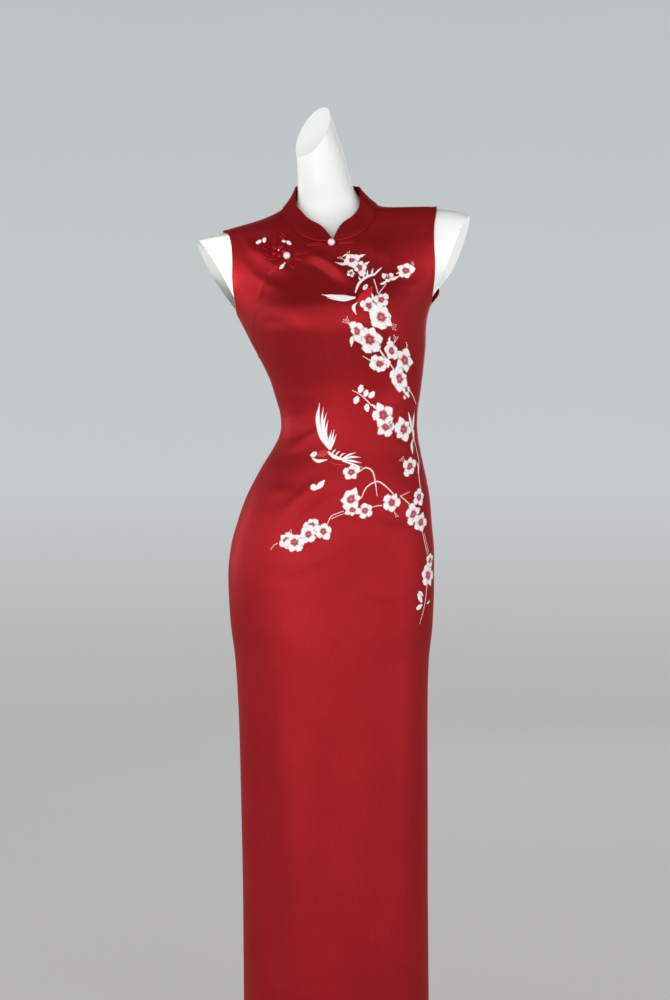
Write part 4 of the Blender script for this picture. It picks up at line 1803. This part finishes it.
def pearl_bead(name, centre, length, width, degrees, slim, material, rings=16, sides=24):
    """A bead on the cloth: round, or drawn out to a point along an angle from +X towards +Z."""
    at, normal = find(*centre)
    long_way = Vector((math.cos(math.radians(degrees)), 0, math.sin(math.radians(degrees))))
    long_way = (long_way - normal * long_way.dot(normal)).normalized()
    side_way = normal.cross(long_way)
    bm = bmesh.new()
    bmesh.ops.create_uvsphere(bm, u_segments=sides, v_segments=rings, radius=1.0)
    middle = at + normal * width / 2
    for vert in bm.verts:
        up, a, b = vert.co.z, vert.co.x, vert.co.y
        thin = 1 - slim * (up + 1)
        vert.co = (middle + long_way * up * length / 2 + side_way * a * thin * width / 2
                   + normal * b * thin * width / 2)
    below = [(vert.co, find(vert.co.x, vert.co.z)) for vert in bm.verts]
    air = min((place - hit[0]).dot(hit[1]) for place, hit in below if hit)
    bmesh.ops.translate(bm, verts=bm.verts, vec=normal * (0.3 * MM - air))
    bmesh.ops.recalc_face_normals(bm, faces=bm.faces)
    mesh = bpy.data.meshes.new(name)
    bm.to_mesh(mesh)
    bm.free()
    mesh.materials.append(material)
    mesh.shade_smooth()
    return add_object(name, mesh)


# %% Frog flowers
def cushion_flower(name, centre, radius, petals, high, turn, material):
    """A flower of stuffed satin petals: a lobed cushion that lies on the cloth."""
    x, z = centre
    sides = petals * 16
    layers = ((1.0, 0.0), (1.01, 0.25), (0.94, 0.62), (0.80, 0.90), (0.62, 1.0), (0.44, 0.92), (0.28, 0.70),
              (0.14, 0.62))
    points, faces = [], ring_faces(len(layers), sides)[:-2]
    for reach, lift in layers:
        for k in range(sides):
            angle = 2 * math.pi * k / sides + turn
            petal = abs(math.cos(petals * (angle - turn) / 2))
            lobe = 0.62 + 0.38 * petal ** 0.6
            dip = 0.55 + 0.45 * petal ** 0.5
            out = radius * reach * lobe
            low, up = find(x + out * math.cos(angle), z + out * math.sin(angle))
            points.append(low + up * (0.35 * MM + lift * high * (1 - (1 - dip) * min(1.0, reach * 1.6))))
    at, up = find(x, z)
    points += [at + up * 0.35 * MM, at + up * (0.35 * MM + high * 0.6)]
    last = (len(layers) - 1) * sides
    for k in range(sides):
        m = (k + 1) % sides
        faces.append((m, k, len(points) - 2))
        faces.append((last + k, last + m, len(points) - 1))
    uv = [(p[0], p[2]) for p in points]
    return finish_mesh(name, points, faces, [material], uv, sharp=60)


def two_tubes(name, points, width, high, apart, material=GLOSSY):
    """A loop of rouleau: two narrow tubes that lie side by side."""
    halves = [satin_tube(f"{name}_{k}", [(x, z + side * apart / 2) for x, z in points],
                         width, high, material)
              for k, side in enumerate((-1, 1))]
    bm = bmesh.new()
    for half in halves:
        bm.from_mesh(half.data)
    bm.to_mesh(halves[0].data)
    bm.free()
    bpy.data.objects.remove(halves[1])
    halves[0].name = name
    return halves[0]


BAR_LEFT = ((-0.0435, 1.3640), (-0.0260, 1.3646), (-0.0110, 1.3660))
BAR_RIGHT = ((0.0060, 1.3680), (0.0200, 1.3668), (0.0350, 1.3688))
LOOP_UPPER = ((-0.0645, 1.3478), (-0.0570, 1.3486), (-0.0490, 1.3500))
LOOP_LOWER = ((-0.0640, 1.3425), (-0.0560, 1.3395), (-0.0450, 1.3378))
CLOSINGS = {
    "collar_bar_left": two_tubes("bar_left", BAR_LEFT, 0.0031, 0.0024, 0.0027, CRIMSON),
    "collar_bar_right": two_tubes("bar_right", BAR_RIGHT, 0.0031, 0.0024, 0.0027, CRIMSON),
    "frog_loop_upper": two_tubes("loop_upper", LOOP_UPPER, 0.0024, 0.0022, 0.0022),
    "frog_loop_lower": two_tubes("loop_lower", LOOP_LOWER, 0.0024, 0.0022, 0.0022),
    "frog_tail": satin_tube("tail", ((-0.0700, 1.3340), (-0.0660, 1.3290), (-0.0610, 1.3250)),
                            0.0036, 0.0024, GLOSSY),
    "frog_stem": satin_tube("stem", ((-0.1130, 1.3620), (-0.1090, 1.3590), (-0.1040, 1.3565)),
                            0.0028, 0.0020, GLOSSY),
    "frog_flower": cushion_flower("satin_flower", (-0.0866, 1.3555), 0.0130, 5, 0.0042, -0.12, GLOSSY),
    "frog_blossom": cushion_flower("satin_blossom", (-0.0800, 1.3800), 0.0066, 4, 0.0030, 0.0, GLOSSY),
    "collar_button": pearl_bead("collar_pearl", (-0.0032, 1.3670), 0.0120, 0.0120, 0, 0.0, PEARLY),
    "side_button": pearl_bead("side_pearl", (-0.0730, 1.3440), 0.0120, 0.0120, 0, 0.0, PEARLY),
}
DROPS = (       # x, z, length, width, degrees
    (-0.1185, 1.3690, 0.0105, 0.0075, 215),
    (-0.1100, 1.3720, 0.0105, 0.0080, 265),
    (-0.0785, 1.3700, 0.0070, 0.0060, 160),
    (-0.0700, 1.3665, 0.0110, 0.0075, 315),
    (-0.0810, 1.3270, 0.0120, 0.0070, 235),
)
for number, (x, z, length, width, degrees) in enumerate(DROPS, 1):
    CLOSINGS[f"drop_bead_{number}"] = pearl_bead(f"drop_{number}", (x, z), length, width, degrees,
                                                 0.16, PEARLY)

# %% [markdown]
# ## Trimming of the frog
# Narrow loops of the same tube curl out from under the satin flower, as on most flower frogs. A seed
# pearl is sewn into the flower's heart and another above the lowest drop.

# %% Loops and seed pearls
LOOPS = (
    ((-0.1085, 1.3468), (-0.1035, 1.3418), (-0.0950, 1.3400), (-0.0870, 1.3412)),
    ((-0.1075, 1.3530), (-0.1045, 1.3480), (-0.0995, 1.3460)),
    ((-0.1010, 1.3700), (-0.1030, 1.3650), (-0.1000, 1.3610)),
    ((-0.0905, 1.3765), (-0.0930, 1.3725), (-0.0915, 1.3690)),
    ((-0.0745, 1.3590), (-0.0700, 1.3560), (-0.0690, 1.3510)),
    ((-0.0715, 1.3800), (-0.0690, 1.3760), (-0.0705, 1.3720)),
)
TRIM = [satin_tube(f"frog_curl_{k}", loop, 0.0021, 0.0022, GLOSSY, segments=20, sides=10)
        for k, loop in enumerate(LOOPS, 1)]
SEED_PEARLS = (((-0.0866, 1.3555), 0.0030), ((-0.0768, 1.3335), 0.0032))     # place, width
TRIM += [pearl_bead(f"seed_pearl_{k}", place, wide, wide, 0, 0.0, PEARLY, rings=8, sides=12)
         for k, (place, wide) in enumerate(SEED_PEARLS, 1)]
heart = bpy.data.objects["satin_flower"].data.vertices[-1].co
heart_pearl = TRIM[-2].data
forward = heart.y - max(vert.co.y for vert in heart_pearl.vertices)
heart_pearl.transform(Matrix.Translation(Vector((0, forward, 0))))

# %% [markdown]
# ## Joining the pieces to the model
# Every piece rides on the model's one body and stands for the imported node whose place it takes. The
# cloth pieces also state the size they were cut to, so that the cloth can be checked against its cut.

# %% Bodies, slots and sheets
def stands_for(piece, node_name, slot):
    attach(piece, "root")
    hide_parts(node_name)


for piece, node_name, slot in (
        (FRONT, "front_panel", "crimson_satin"), (SIDE_FRONT, "side_front", "crimson_satin"),
        (BACK, "back_panel", "crimson_satin"), (COLLAR, "stand_collar", "crimson_satin"),
        (FORM, "dress_form", "form_white"), (POLE, "stand_pole", "stand_steel"),
        (BASE, "stand_base", "stand_steel")):
    stands_for(piece, node_name, slot)
for node_name, piece in CLOSINGS.items():
    stands_for(piece, node_name, "pearl" if piece.data.materials[0] == PEARLY else "crimson_satin")
for piece in (*EMBROIDERY, STITCHES, *TRIM):
    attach(piece, "root")


def cloth_area(piece):
    return sum(face.area for face in piece.data.polygons) / 2


for piece, flat, rests in ((FRONT, (0.441, 1.405), ["moulded_form"]),
                           (SIDE_FRONT, (0.165, 0.274), ["moulded_form"]),
                           (BACK, (0.467, 1.413), ["moulded_form"]),
                           (COLLAR, (0.460, 0.042), ["front_cloth", "back_cloth"])):
    area = cloth_area(piece)
    print(piece.name, "area", round(area, 4), "of", round(flat[0] * flat[1], 4))
    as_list(rests)
